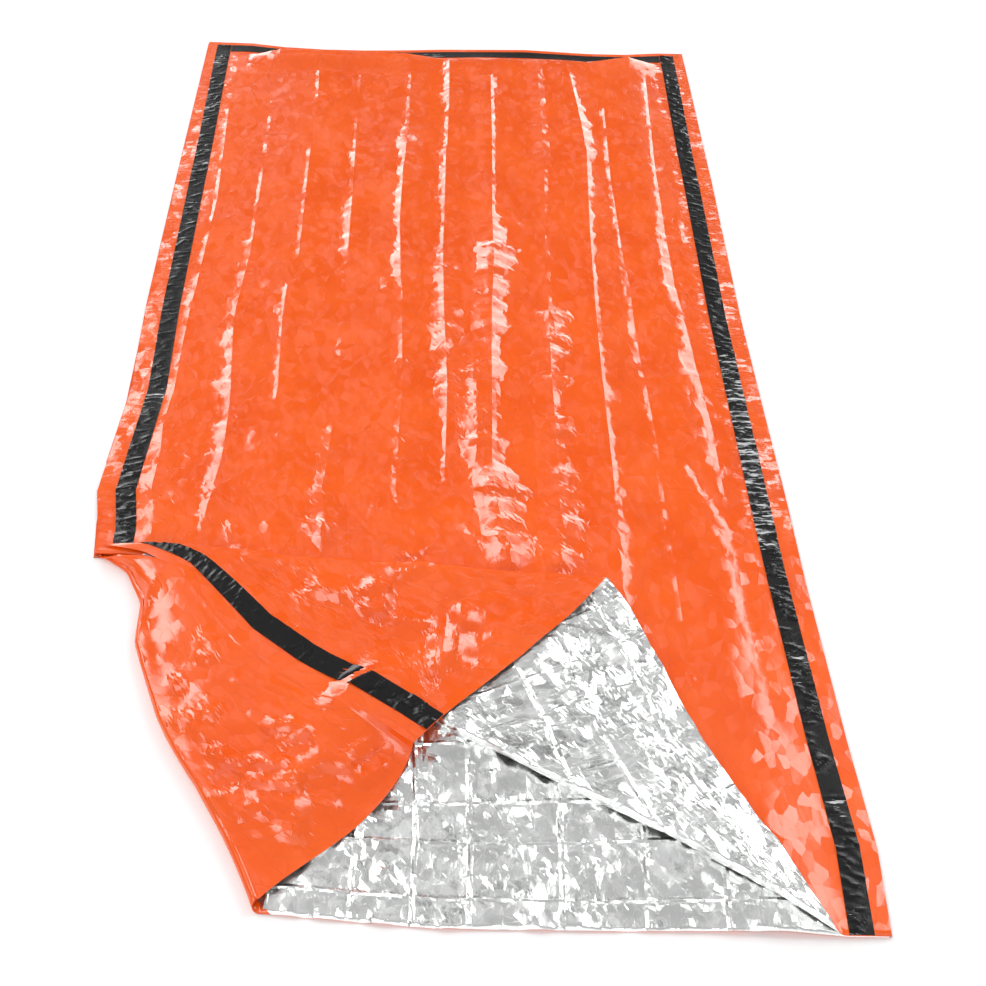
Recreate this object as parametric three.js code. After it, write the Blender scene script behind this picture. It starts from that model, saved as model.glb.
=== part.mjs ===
// Emergency sleeping bag: two film panels joined along both sides and the foot, with a tape strip
// over each of the three joined edges. The bag lies flat on its lower panel with its mouth at -Y,
// and the left half of the mouth is turned over, so that both panels show their inside.
// Millimetres, +Z up, origin under the middle of the bag.
import * as THREE from 'three';

// Driving dimensions
const WIDTH = 1000;
const LENGTH = 2000;
const SHEET = 1.2;
const TAPE = 0.8;
const CLEARANCE = 0.3;
const TAPE_CLEARANCE = 0.4;
const TAPE_WIDTH = 29;
const TAPE_INSET = 24;
const FOOT_TAPE = { inner: 41, outer: 12 };
const SEAM_INSET = 0.35;

// The turned-over corner: the upper panel folds along two creases that spread from one pivot, just
// outside the left edge, and the lower panel folds along a third that starts on the left edge.
// Angles are measured from the mouth direction.
const PIVOT = { across: -12, up: 566 };
const FIRST_CREASE_END = 935;
const HALF_TURN = THREE.MathUtils.degToRad(26.5);
const FIRST_ANGLE = Math.atan2(FIRST_CREASE_END - PIVOT.across, PIVOT.up);
const SECOND_ANGLE = FIRST_ANGLE - HALF_TURN;
const THIRD_START = 555;
const FLAP_REST = 4.2;
const FLAP_SETTLE = 60;
const FLAP_TIP = { pullX: 58, pullY: -6, reach: 250 };
const CORNER_BULGE = 20;
const CORNER_BULGE_DEPTH = 140;
const INWARD_FADE = 45;
const CORNER_JOIN = { from: 20, to: 110 };
const CORNER_CLIMB = { from: 4, to: 40, roundness: 2.5 };

// Radius of each fold, and how far the first one stands up, by distance along it
const FIRST_CREASE = [
  { along: 15, roll: 2.2, lift: 0 },
  { along: 50, roll: 3.2, lift: 2 },
  { along: 120, roll: 4, lift: 7 },
  { along: 300, roll: 5, lift: 12 },
  { along: 560, roll: 5, lift: 15 },
  { along: 800, roll: 5, lift: 14 },
  { along: 1000, roll: 5, lift: 7 },
  { along: 1130, roll: 4, lift: 0 },
];
const SECOND_CREASE = [
  { along: 15, roll: 1.5 },
  { along: 50, roll: 2.4 },
  { along: 150, roll: 4 },
  { along: 500, roll: 5 },
];
const THIRD_CREASE = [
  { along: 0, roll: 1.2, inward: 6 },
  { along: 50, roll: 4, inward: 16 },
  { along: 115, roll: 6, inward: 20 },
  { along: 175, roll: 7, inward: 2 },
  { along: 300, roll: 8, inward: -2 },
  { along: 420, roll: 8, inward: 6 },
  { along: 640, roll: 7, inward: 0 },
];

// The turned-over side seam runs in a bow, by distance along it
const SEAM_BOW = [
  { along: 0, bow: 0 },
  { along: 70, bow: 24 },
  { along: 140, bow: 27 },
  { along: 210, bow: 8 },
  { along: 290, bow: -13 },
  { along: 370, bow: -16 },
  { along: 450, bow: -7 },
  { along: 530, bow: 0 },
];
const SEAM_ROOM = 14;

// Loft of the upper panel, and the creases left along it by packing, with their own heights
const LOFT = 11;
const EDGE_LOFT = 4;
const SIDE_SLOPE = 80;
const FOOT_SLOPE = 110;
const FLAP_BED = 3.2;
const LIFT_FADE = 170;
const PACKING_CREASES = [
  { across: 0, rise: 0 },
  { across: 70, rise: 2 },
  { across: 157, rise: -2.4 },
  { across: 240, rise: 2 },
  { across: 327, rise: -2.2 },
  { across: 420, rise: 3 },
  { across: 490, rise: -1.6 },
  { across: 572, rise: 3.2 },
  { across: 664, rise: -2.6 },
  { across: 738, rise: 2.6 },
  { across: 790, rise: -1.4 },
  { across: 874, rise: 2.8 },
  { across: 940, rise: -0.6 },
  { across: 1000, rise: 0 },
];

// How far the outline strays from straight: the two sides by distance from the mouth, and the foot
// and the mouth by distance from the left side
const SIDE_SWAY = [
  { up: 0, left: 0, right: 4 },
  { up: 110, left: 0, right: 11 },
  { up: 260, left: 0, right: 5 },
  { up: 520, left: 14, right: 0 },
  { up: 600, left: 8, right: 0 },
  { up: 680, left: -7, right: 0 },
  { up: 900, left: 6, right: -3 },
  { up: 1100, left: -2, right: -5 },
  { up: 1500, left: -5, right: 0 },
  { up: 2000, left: -7, right: 1 },
];
const END_SWAY = [
  { across: 0, foot: 0, mouth: 34, curl: 0 },
  { across: 90, foot: -2, mouth: 34, curl: 0 },
  { across: 157, foot: -14, mouth: 34, curl: 1 },
  { across: 240, foot: -20, mouth: 34, curl: 1 },
  { across: 327, foot: -20, mouth: 26, curl: 1 },
  { across: 420, foot: -14, mouth: 17, curl: 0.3 },
  { across: 490, foot: -8, mouth: 11, curl: 0 },
  { across: 664, foot: 0, mouth: 8, curl: 0 },
  { across: 790, foot: -10, mouth: 7, curl: 0.2 },
  { across: 874, foot: -10, mouth: 5, curl: 0.8 },
  { across: 950, foot: 0, mouth: 0, curl: 0 },
  { across: 1000, foot: 0, mouth: 0, curl: 0 },
];
const FOOT_SWAY_DEPTH = 300;
const MOUTH_SWAY_DEPTH = 260;
const FOOT_CURL = { start: 130, top: 58, drop: 38, height: 11 };
const TAPE_WANDER = [
  { up: 0, left: 0, right: 4 },
  { up: 600, left: 3, right: -3 },
  { up: 1100, left: 4, right: -2 },
  { up: 1600, left: 1, right: -2 },
  { up: 1960, left: -5, right: 3 },
  { up: 2000, left: -5, right: 3 },
];

// Where the faceted sheets have their lines
const FOOT_ROWS = [2000, 1988, 1974, 1959, 1942, 1915, 1870];
const FAR_ROWS = [...FOOT_ROWS, 1760, 1600, 1420, 1240, 1060, 900, 760, 660];
const NEAR_ROWS = [0.3, 0.55, 0.75, 0.88, 0.96];
const ROLL_ROWS = [-1, -0.6, -0.2, 0.2, 0.6, 1];
const FLAP_ROWS = [0.25, 0.5, 0.75];
const CORNER_ROWS = [0.84, 0.66, 0.48, 0.32];
const LEAST_SPAN = 0.001;
const FACING_STEP = 0.4;
const LOWER_ROWS = [2000, 1660, 1320, 980, 760];
const LOWER_COLUMNS = [30, 80, 140, 200];
const LOWER_RIGHT_COLUMNS = [420, 560, 700, 850, 1000];

// Height of the middle of a sheet that lies on the lower panel
const LYING_HEIGHT = 1.5 * SHEET + CLEARANCE;

const clamp = THREE.MathUtils.clamp;
const tangent = Math.tan;

function ease(value) {
  return THREE.MathUtils.smoothstep(value, 0, 1);
}

// Value of a table's column at a place, in straight lines between its rows
function lookUp(rows, key, place, column) {
  const last = rows.length - 1;
  if (place <= rows[0][key]) {
    return rows[0][column];
  }
  for (let i = 0; i < last; i += 1) {
    const low = rows[i];
    const high = rows[i + 1];
    if (place <= high[key]) {
      const share = (place - low[key]) / (high[key] - low[key]);
      return low[column] + share * (high[column] - low[column]);
    }
  }
  return rows[last][column];
}

function towards(angle) {
  return new THREE.Vector2(Math.sin(angle), -Math.cos(angle));
}

function beside(angle) {
  return new THREE.Vector2(Math.cos(angle), Math.sin(angle));
}

function combine(origin, axis, length, side, width) {
  return origin.clone().addScaledVector(axis, length).addScaledVector(side, width);
}

// Distances along and across a line that leaves a point at an angle
function alongAndAcross(point, origin, angle) {
  const away = point.clone().sub(origin);
  return { along: away.dot(towards(angle)), across: -away.dot(beside(angle)) };
}

// A sheet folded over a roll: how far it reaches from the crease, and how high it has turned
function turnOver(across, roll) {
  const half = Math.PI * roll / 2;
  const turn = clamp(across, -half, half) / roll;
  const reach = Math.abs(across) < half ? half - roll * Math.cos(turn) : Math.abs(across);
  return { half, reach, height: roll * (1 + Math.sin(turn)) };
}

const pivot = new THREE.Vector2(PIVOT.across, PIVOT.up);
const thirdStart = new THREE.Vector2(0, THIRD_START);
const seamAxis = towards(2 * HALF_TURN);
const seamSide = beside(2 * HALF_TURN);
const seamStart = new THREE.Vector2(0, PIVOT.up - PIVOT.across * tangent(HALF_TURN));
const secondFolded = FIRST_ANGLE + HALF_TURN;
const flapTip = combine(pivot, towards(secondFolded), PIVOT.up / Math.cos(SECOND_ANGLE), seamSide, 0);

// The bow of the turned-over seam, which fades out towards the creases on both sides of it
function bowAt(point) {
  const away = point.clone().sub(seamStart);
  const along = Math.max(away.dot(seamAxis), 0);
  const aside = away.dot(seamSide);
  const room = along * tangent(aside > 0 ? SECOND_ANGLE : HALF_TURN) + SEAM_ROOM;
  return lookUp(SEAM_BOW, 'along', along, 'bow') * clamp(1 - Math.abs(aside) / room, 0, 1);
}

// The outline's sway and the seam's bow, the same for every layer that lies at a place
function sway(point) {
  const share = point.x / WIDTH;
  const left = lookUp(SIDE_SWAY, 'up', point.y, 'left');
  const right = lookUp(SIDE_SWAY, 'up', point.y, 'right');
  const foot = lookUp(END_SWAY, 'across', point.x, 'foot');
  const mouth = lookUp(END_SWAY, 'across', point.x, 'mouth');
  const footShare = ease((point.y - LENGTH + FOOT_SWAY_DEPTH) / FOOT_SWAY_DEPTH);
  const mouthShare = ease(1 - point.y / MOUTH_SWAY_DEPTH);
  const dx = left * (1 - share) + right * share;
  const moved = new THREE.Vector2(point.x + dx, point.y + foot * footShare + mouth * mouthShare);
  return moved.addScaledVector(seamSide, bowAt(point));
}

// Height of the upper panel's lying layer without its packing creases
function loft(point) {
  const side = Math.min(point.x, WIDTH - point.x);
  const fromFoot = LENGTH - point.y;
  const sides = ease((side + EDGE_LOFT) / SIDE_SLOPE);
  const swell = LOFT * sides * ease((fromFoot + EDGE_LOFT) / FOOT_SLOPE);
  const first = alongAndAcross(point, pivot, FIRST_ANGLE);
  const lift = lookUp(FIRST_CREASE, 'along', first.along, 'lift');
  const fade = Math.exp(Math.min(first.across, 0) / LIFT_FADE);
  const curl = lookUp(END_SWAY, 'across', point.x, 'curl') * FOOT_CURL.height;
  const climb = ease((FOOT_CURL.start - fromFoot) / (FOOT_CURL.start - FOOT_CURL.top));
  const fall = ease((FOOT_CURL.top - fromFoot) / (FOOT_CURL.top - FOOT_CURL.drop));
  return LYING_HEIGHT + swell + lift * fade + curl * climb * (1 - fall);
}

function packingRise(point) {
  const rise = lookUp(PACKING_CREASES, 'across', point.x, 'rise');
  return rise * ease((LENGTH - point.y) / FOOT_SLOPE);
}

// Where a point of the upper panel lies, by its distances from the left edge and the mouth, before
// the outline's sway
function upperLay(across, up) {
  const flat = new THREE.Vector2(across, up);
  const first = alongAndAcross(flat, pivot, FIRST_ANGLE);
  const second = alongAndAcross(flat, pivot, SECOND_ANGLE);
  const firstTurn = turnOver(first.across, lookUp(FIRST_CREASE, 'along', first.along, 'roll'));
  const secondRoll = lookUp(SECOND_CREASE, 'along', second.along, 'roll');
  const secondTurn = turnOver(second.across, secondRoll);
  const corner = second.across > -secondTurn.half;
  const point = corner
    ? combine(pivot, towards(secondFolded), second.along, beside(secondFolded), -secondTurn.reach)
    : combine(pivot, towards(FIRST_ANGLE), first.along, beside(FIRST_ANGLE), firstTurn.reach);
  const turned = ease((first.across - firstTurn.half) / FLAP_SETTLE);
  const near = turned * Math.exp(-point.distanceToSquared(flapTip) / FLAP_TIP.reach ** 2);
  point.x += FLAP_TIP.pullX * near;
  point.y += FLAP_TIP.pullY * near;
  const started = ease((first.across + firstTurn.half) / (2 * firstTurn.half));
  const bed = packingRise(point) * (1 - started) + FLAP_BED * started;
  const lying = alongAndAcross(point, pivot, FIRST_ANGLE);
  const lyingRoll = lookUp(FIRST_CREASE, 'along', lying.along, 'roll');
  const fromFirst = Math.max(-lying.across - Math.PI * lyingRoll / 2, 0);
  const overFirst = FLAP_REST + (2 * lyingRoll - FLAP_REST) * Math.exp(-((fromFirst / FLAP_SETTLE) ** 2));
  const firstHeight = first.across < firstTurn.half ? firstTurn.height : overFirst;
  const fromSecond = Math.max(secondTurn.reach - secondTurn.half, 0);
  const overSecond = FLAP_REST + (2 * secondRoll - FLAP_REST) * Math.exp(-((fromSecond / FLAP_SETTLE) ** 2));
  const secondHeight = second.across < secondTurn.half ? secondTurn.height : overSecond;
  return { point, height: loft(point) + bed + firstHeight + secondHeight };
}

function swayed({ point, height }) {
  const place = sway(point);
  return new THREE.Vector3(place.x, place.y, height);
}

function upperPlace(across, up) {
  return swayed(upperLay(across, up));
}

// The same for the lower panel, whose turned-over corner ends along the upper panel's seam
function lowerLay(across, up) {
  const flat = new THREE.Vector2(across, up);
  const third = alongAndAcross(flat, thirdStart, HALF_TURN);
  const lies = SHEET / 2;
  if (third.along <= 0) {
    return { point: flat, height: lies };
  }
  const roll = lookUp(THIRD_CREASE, 'along', third.along, 'roll');
  const turn = turnOver(third.across, roll);
  const point = combine(thirdStart, towards(HALF_TURN), third.along, beside(HALF_TURN), turn.reach);
  const span = Math.max(third.along * tangent(HALF_TURN) - turn.half, LEAST_SPAN);
  const rise = clamp((third.across - turn.half) / span, 0, 1);
  const inward = lookUp(THIRD_CREASE, 'along', third.along, 'inward') * (1 - rise);
  point.addScaledVector(beside(HALF_TURN), inward * Math.exp(-((turn.reach / INWARD_FADE) ** 2)));
  if (third.across <= turn.half) {
    return { point, height: lies + turn.height };
  }
  const hem = CORNER_BULGE * Math.exp(-up / CORNER_BULGE_DEPTH) * Math.sin(Math.PI * rise);
  point.addScaledVector(seamAxis, hem);
  const reach = flat.distanceTo(thirdStart);
  const seam = upperLay(0, Math.max(THIRD_START - reach, 0));
  const own = combine(thirdStart, seamAxis, reach, seamSide, 0);
  const join = ease((reach - CORNER_JOIN.from) / (CORNER_JOIN.to - CORNER_JOIN.from));
  point.addScaledVector(seam.point.clone().sub(own), rise * join);
  const climb = ease((reach - CORNER_CLIMB.from) / (CORNER_CLIMB.to - CORNER_CLIMB.from));
  const top = lies + 2 * roll;
  const rounded = 1 - (1 - rise) ** CORNER_CLIMB.roundness;
  const height = top + rounded * climb * (seam.height - top);
  return { point, height };
}

function lowerPlace(across, up) {
  return swayed(lowerLay(across, up));
}

// Outward direction of a sheet at a point of it
function facing(placeOf, across, up) {
  const alongAcross = placeOf(across + FACING_STEP, up).sub(placeOf(across - FACING_STEP, up));
  const alongUp = placeOf(across, up + FACING_STEP).sub(placeOf(across, up - FACING_STEP));
  return alongAcross.cross(alongUp).normalize();
}

// Lines of the faceted sheet. A line crosses the sheet from its left edge to its mouth, at a share
// of a fold's turn on one side of the crease.
function creaseLine(start, end, crease, turnShare) {
  const angle = Math.atan2(end - Math.min(start.across, 0), start.up);
  const first = new THREE.Vector2(0, start.up + start.across / tangent(angle));
  const total = Math.hypot(end - start.across, start.up);
  return (share) => {
    const half = Math.PI * lookUp(crease, 'along', share * total, 'roll') / 2;
    const offset = turnShare * half;
    const across = share * end - share * offset / Math.cos(angle);
    const up = (1 - share) * first.y - (1 - share) * offset / Math.sin(angle);
    return new THREE.Vector2(across, up);
  };
}

function straightLine(up, across) {
  return (share) => new THREE.Vector2(share * across, (1 - share) * up);
}

function betweenLines(one, other, part) {
  return (share) => one(share).lerp(other(share), part);
}

// Columns nearest the left edge keep their distance from it, and the rest spread over the line
function shareOnLine(line, column, kept, widest) {
  const end = line(1).x;
  if (column <= kept || end <= kept) {
    return end > 0 ? Math.min(column / end, 1) : 0;
  }
  return (kept + (column - kept) / (widest - kept) * (end - kept)) / end;
}

// Grid of a sheet: full rows down to where the fold starts, then lines over the folded corner
function sheetGrid({ farRows, leftColumns, rightColumns, kept, lines, wander }) {
  const edge = lines[0];
  const widest = leftColumns[leftColumns.length - 1];
  const columns = [...leftColumns, ...rightColumns];
  const nearest = farRows[farRows.length - 1];
  const limit = columns.map((column) => (
    column <= widest ? edge(shareOnLine(edge, column, kept, widest)).y : 0
  ));
  const atRow = (column, up) => new THREE.Vector2(column + wander(column, up), up);
  const grid = farRows.map((up) => columns.map((column) => atRow(column, up)));
  for (const part of NEAR_ROWS) {
    grid.push(columns.map((column, i) => atRow(column, nearest + part * (limit[i] - nearest))));
  }
  lines.forEach((line, k) => {
    const spots = leftColumns.map((column) => line(shareOnLine(line, column, kept, widest)));
    const rest = k === 0 ? rightColumns.map((column) => atRow(column, 0)) : [];
    grid.push([...spots, ...rest]);
  });
  return grid;
}

// Closed body between two offsets of a grid's sheet
function sheetBody(placeOf, grid, low, high) {
  const keys = new Map();
  const spots = [];
  const index = grid.map((row) => row.map((spot) => {
    const key = `${spot.x.toFixed(3)},${spot.y.toFixed(3)}`;
    if (!keys.has(key)) {
      keys.set(key, spots.length);
      spots.push(spot);
    }
    return keys.get(key);
  }));
  const faces = [];
  for (let k = 0; k + 1 < index.length; k += 1) {
    for (let i = 0; i + 1 < index[k + 1].length; i += 1) {
      const [a, b, c, d] = [index[k][i], index[k + 1][i], index[k + 1][i + 1], index[k][i + 1]];
      for (const face of [[a, b, c], [a, c, d]]) {
        if (new Set(face).size === 3) {
          faces.push(face);
        }
      }
    }
  }
  return closeBody(placeOf, spots, faces, low, high);
}

function closeBody(placeOf, spots, faces, low, high) {
  const count = spots.length;
  const positions = [];
  for (const offset of [high, low]) {
    for (const spot of spots) {
      const normal = facing(placeOf, spot.x, spot.y);
      positions.push(...placeOf(spot.x, spot.y).addScaledVector(normal, offset).toArray());
    }
  }
  const triangles = [];
  const edges = new Set();
  for (const [a, b, c] of faces) {
    triangles.push(a, b, c, a + count, c + count, b + count);
    edges.add(`${a},${b}`).add(`${b},${c}`).add(`${c},${a}`);
  }
  for (const edge of edges) {
    const [a, b] = edge.split(',').map(Number);
    if (!edges.has(`${b},${a}`)) {
      triangles.push(a, a + count, b, b, a + count, b + count);
    }
  }
  const geometry = new THREE.BufferGeometry();
  geometry.setAttribute('position', new THREE.Float32BufferAttribute(positions, 3));
  geometry.setIndex(triangles);
  geometry.computeVertexNormals();
  return geometry;
}

// Part of a grid, as the spots of a tape strip on it
function strip(grid, firstRow, rowCount, firstColumn, columnCount) {
  return grid.slice(firstRow, firstRow + rowCount)
    .map((row) => row.slice(firstColumn, firstColumn + columnCount));
}

function shiftEnds(spots, gap) {
  return spots.map((row) => {
    const last = row.length - 1;
    const first = row[0].clone().lerp(row[1], gap / row[0].distanceTo(row[1]));
    const end = row[last].clone().lerp(row[last - 1], gap / row[last].distanceTo(row[last - 1]));
    return [first, ...row.slice(1, last), end];
  });
}

// Columns and lines of the upper panel
const tapeEdges = { left: [TAPE_INSET, TAPE_INSET + TAPE_WIDTH], right: [] };
tapeEdges.right = tapeEdges.left.map((inset) => WIDTH - inset).reverse();
const creaseColumns = PACKING_CREASES.map((row) => row.across)
  .filter((across) => across > tapeEdges.left[1] && across < FIRST_CREASE_END);
const firstLines = ROLL_ROWS.map((share) => creaseLine(PIVOT, FIRST_CREASE_END, FIRST_CREASE, share));
const secondEnd = PIVOT.up * tangent(SECOND_ANGLE) + PIVOT.across;
const secondLines = ROLL_ROWS.map((share) => creaseLine(PIVOT, secondEnd, SECOND_CREASE, share));
const flapLines = FLAP_ROWS.map((part) => betweenLines(firstLines.at(-1), secondLines[0], part));
const cornerFrom = secondLines.at(-1);
const cornerEnds = [...CORNER_ROWS.map((part) => part * cornerFrom(1).x), ...[...tapeEdges.left].reverse()];
const cornerLines = cornerEnds.map((across) => (
  straightLine(across / cornerFrom(1).x * cornerFrom(0).y, across)
));
const cornerEnd = straightLine(0, SEAM_INSET);
const upperLines = [...firstLines, ...flapLines, ...secondLines, ...cornerLines, cornerEnd];
const creaseStart = firstLines[0](1).x;

function wanderOf(column, up) {
  if (tapeEdges.left.includes(column)) {
    return lookUp(TAPE_WANDER, 'up', up, 'left');
  }
  if (tapeEdges.right.includes(column)) {
    return lookUp(TAPE_WANDER, 'up', up, 'right');
  }
  return 0;
}

const upperGrid = sheetGrid({
  farRows: FAR_ROWS,
  leftColumns: [SEAM_INSET, ...tapeEdges.left, ...creaseColumns, creaseStart],
  rightColumns: [...tapeEdges.right, WIDTH],
  kept: tapeEdges.left[1],
  lines: upperLines,
  wander: wanderOf,
});

// Lines of the lower panel
const thirdEnd = THIRD_START * tangent(HALF_TURN);
const thirdLines = ROLL_ROWS.map((share) => (
  creaseLine({ across: 0, up: THIRD_START }, thirdEnd, THIRD_CREASE, share)
));
const thirdLast = thirdLines.at(-1);
const turnedLines = [cornerFrom, ...cornerLines].map((line) => (
  straightLine(line(0).y, line(0).y / thirdLast(0).y * thirdLast(1).x)
));
const lowerGrid = sheetGrid({
  farRows: LOWER_ROWS,
  leftColumns: [SEAM_INSET, ...LOWER_COLUMNS, thirdLines[0](1).x],
  rightColumns: LOWER_RIGHT_COLUMNS,
  kept: SEAM_INSET,
  lines: [...thirdLines, ...turnedLines, cornerEnd],
  wander: () => 0,
});

// Materials
const film = { color: 0xf2591e, roughness: 0.32, metalness: 0.1, side: THREE.DoubleSide };
const filmMaterial = new THREE.MeshStandardMaterial(film);
const tapeMaterial = new THREE.MeshStandardMaterial({ color: 0x101011, roughness: 0.35, metalness: 0 });

const bag = new THREE.Group();

function addPiece(name, geometry, material) {
  const mesh = new THREE.Mesh(geometry, material);
  mesh.name = name;
  bag.add(mesh);
}

const tapeLow = SHEET / 2 + TAPE_CLEARANCE;
const tapeHigh = tapeLow + TAPE;
const footRows = FAR_ROWS.map((up) => LENGTH - up);
const footFirst = footRows.findIndex((inset) => inset >= FOOT_TAPE.outer);
const footCount = footRows.findIndex((inset) => inset >= FOOT_TAPE.inner) - footFirst + 1;
const rightColumn = upperGrid[0].length - 3;
const fullRows = FAR_ROWS.length + NEAR_ROWS.length + 1;
const leftRows = upperGrid.length - 2 - footFirst;
const betweenTapes = strip(upperGrid, footFirst, footCount, 2, rightColumn - 1);

addPiece('lower_panel', sheetBody(lowerPlace, lowerGrid, -SHEET / 2, SHEET / 2), filmMaterial);
addPiece('upper_panel', sheetBody(upperPlace, upperGrid, -SHEET / 2, SHEET / 2), filmMaterial);
addPiece('left_tape', sheetBody(
  upperPlace,
  strip(upperGrid, footFirst, leftRows, 1, 2),
  tapeLow,
  tapeHigh,
), tapeMaterial);
addPiece('right_tape', sheetBody(
  upperPlace,
  strip(upperGrid, footFirst, fullRows - footFirst, rightColumn, 2),
  tapeLow,
  tapeHigh,
), tapeMaterial);
addPiece('foot_tape', sheetBody(
  upperPlace,
  shiftEnds(betweenTapes, CLEARANCE),
  tapeLow,
  tapeHigh,
), tapeMaterial);

// Origin at the middle of the bag's footprint, on the surface it lies on
const extent = new THREE.Box3().setFromObject(bag);
const middle = extent.getCenter(new THREE.Vector3());
bag.position.set(-middle.x, -middle.y, -extent.min.z);

export default bag;
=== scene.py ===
"""Looks of an emergency sleeping bag that lies flat, with one corner of its mouth turned over.

Lengths in the tables are millimetres. A place on a panel is given on its flat film, by the distance
across, from the left edge, and up, from the mouth.
"""
import math
from collections import namedtuple

import bpy
import numpy as np
from mathutils import Matrix, Vector


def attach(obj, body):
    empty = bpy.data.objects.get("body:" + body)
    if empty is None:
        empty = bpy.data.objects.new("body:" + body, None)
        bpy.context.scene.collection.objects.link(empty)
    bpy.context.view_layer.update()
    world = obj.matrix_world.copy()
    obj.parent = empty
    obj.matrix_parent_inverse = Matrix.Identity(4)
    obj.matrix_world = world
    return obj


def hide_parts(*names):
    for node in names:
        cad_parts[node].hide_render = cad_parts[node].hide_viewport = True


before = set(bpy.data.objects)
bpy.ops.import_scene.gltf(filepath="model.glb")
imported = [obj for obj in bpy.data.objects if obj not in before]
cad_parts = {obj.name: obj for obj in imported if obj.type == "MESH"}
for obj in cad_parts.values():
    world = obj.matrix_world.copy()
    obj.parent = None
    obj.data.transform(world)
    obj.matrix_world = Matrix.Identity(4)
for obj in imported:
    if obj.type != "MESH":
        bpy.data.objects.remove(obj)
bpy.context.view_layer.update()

MM = 0.001

# Sizes of the bag, and where the left end of its mouth lies in the part's frame. The sheet is the solid's
# thickness, which sets the heights of the layers. The film and the tape are the thinner ones that show.
WIDTH = 1000
LENGTH = 2000
ORIGIN = np.array([-501.578, -999.980, 0])
SHEET = 1.2
CLEARANCE = 0.3
FILM = 0.5
TAPE = 0.3
TAPE_LIFT = 0.45
TAPE_WIDTH = 29
TAPE_INSET = 24
TAPE_INNER = TAPE_INSET + TAPE_WIDTH
FOOT_TAPE_INNER, FOOT_TAPE_OUTER, FOOT_TAPE_LENGTH = 41, 12, 900
SEAM_INSET = 0.35

# The turned-over corner: the upper panel folds along two creases that spread from a pivot, and the
# lower panel along a third that starts on the left edge. Angles are measured from the mouth direction.
PIVOT = np.array([-12.0, 566.0])
FIRST_CREASE_END = 935
HALF_TURN = math.radians(26.5)
FIRST_ANGLE = math.atan2(FIRST_CREASE_END - PIVOT[0], PIVOT[1])
SECOND_ANGLE = FIRST_ANGLE - HALF_TURN
THIRD_START = np.array([0.0, 555.0])
FLAP_REST = 4.2
FLAP_SETTLE = 60
FLAP_TIP_PULL = np.array([58.0, -6.0])
FLAP_TIP_REACH = 250
CORNER_BULGE = 20
CORNER_BULGE_DEPTH = 140
INWARD_FADE = 45
CORNER_JOIN = (20, 110)
CORNER_CLIMB = (4, 40)
CORNER_ROUNDNESS = 2.5
HEM_DROOP, HEM_DROOP_DEPTH, HEM_REST, HEM_ROUNDNESS = 0.85, 100, 3, 0.3
LEAST_SPAN = 0.001


def table(columns, *rows):
    """Rows of numbers as one array for each named column."""
    return dict(zip(columns.split(), np.array(rows, float).T))


# Radius of each fold by distance along it, with how far the first stands up and the third bends inward
FIRST_CREASE = table(
    "along roll lift",
    (15, 2.2, 0), (50, 3.2, 1), (120, 4, 2), (300, 5, 3),
    (560, 5, 4), (800, 5, 4), (1000, 5, 2), (1130, 4, 0),
)
SECOND_CREASE = table("along roll", (15, 1.5), (50, 2.4), (150, 4), (500, 5))
THIRD_CREASE = table(
    "along roll inward",
    (0, 1.2, 6), (50, 4, 16), (115, 6, 20), (175, 7, 2), (300, 8, -2), (420, 8, 6), (640, 7, 0),
)

# The turned-over side seam runs in a bow, by distance along it
SEAM_BOW = table(
    "along bow",
    (0, 0), (70, 24), (140, 27), (210, 8), (290, -13), (370, -16), (450, -7), (530, 0),
)
SEAM_ROOM = 14

# Loft of the upper panel, and the creases left along it by packing, with their own heights
LOFT = 11
EDGE_LOFT = 4
SIDE_LOFT = table("inset share", (0, 0.12), (24, 0.24), (53, 0.34), (110, 0.7), (210, 1))
FOOT_SLOPE = 110
FLAP_BED = 3.2
LIFT_FADE = 170
PACKING_CREASES = table(
    "across rise",
    (0, 0), (70, 2), (157, -2.4), (240, 2), (327, -2.2), (420, 3), (490, -1.6), (572, 3.2),
    (664, -2.6), (738, 2.6), (790, -1.4), (874, 2.8), (940, -0.6), (1000, 0),
)

# How far the outline strays from straight, and the curl of the film at its foot
SIDE_SWAY = table(
    "up left right",
    (0, 0, 4), (110, 0, 11), (260, 0, 5), (520, 14, 0), (600, 8, 0), (680, -7, 0),
    (900, 6, -3), (1100, -2, -5), (1500, -5, 0), (2000, -7, 1),
)
END_SWAY = table(
    "across foot mouth curl",
    (0, 0, 34, 0), (90, -2, 34, 0), (157, -14, 34, 1), (240, -20, 34, 1), (327, -20, 26, 1),
    (420, -14, 17, 0.7), (490, -8, 11, 0.2), (664, 0, 8, 0.15), (790, -10, 7, 0.3), (874, -10, 5, 0.9),
    (950, 0, 0, 0), (1000, 0, 0, 0),
)
FOOT_SWAY_DEPTH = 300
MOUTH_SWAY_DEPTH = 260
CURL_START, CURL_TOP, CURL_DROP, CURL_HEIGHT = 130, 60, 44, 23

# How far the tapes stray from straight
TAPE_WANDER = table(
    "up left right",
    (0, 0, 4), (600, 3, -3), (1100, 4, -2), (1600, 1, -2), (1960, -5, 3), (2000, -5, 3),
)
LYING_HEIGHT = 1.5 * SHEET + CLEARANCE


def ease(value):
    """A smooth step from 0 to 1."""
    value = np.clip(value, 0, 1)
    return value * value * (3 - 2 * value)


def look_up(rows, key, place, column):
    """A column of a table at some places, straight between its rows."""
    return np.interp(place, rows[key], rows[column])


def towards(angle):
    """The direction at an angle from the mouth direction."""
    return np.array([math.sin(angle), -math.cos(angle)])


def beside(angle):
    """The direction square to that one."""
    return np.array([math.cos(angle), math.sin(angle)])


def combine(origin, axis, length, side, width):
    return origin + np.multiply.outer(length, axis) + np.multiply.outer(width, side)


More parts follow.
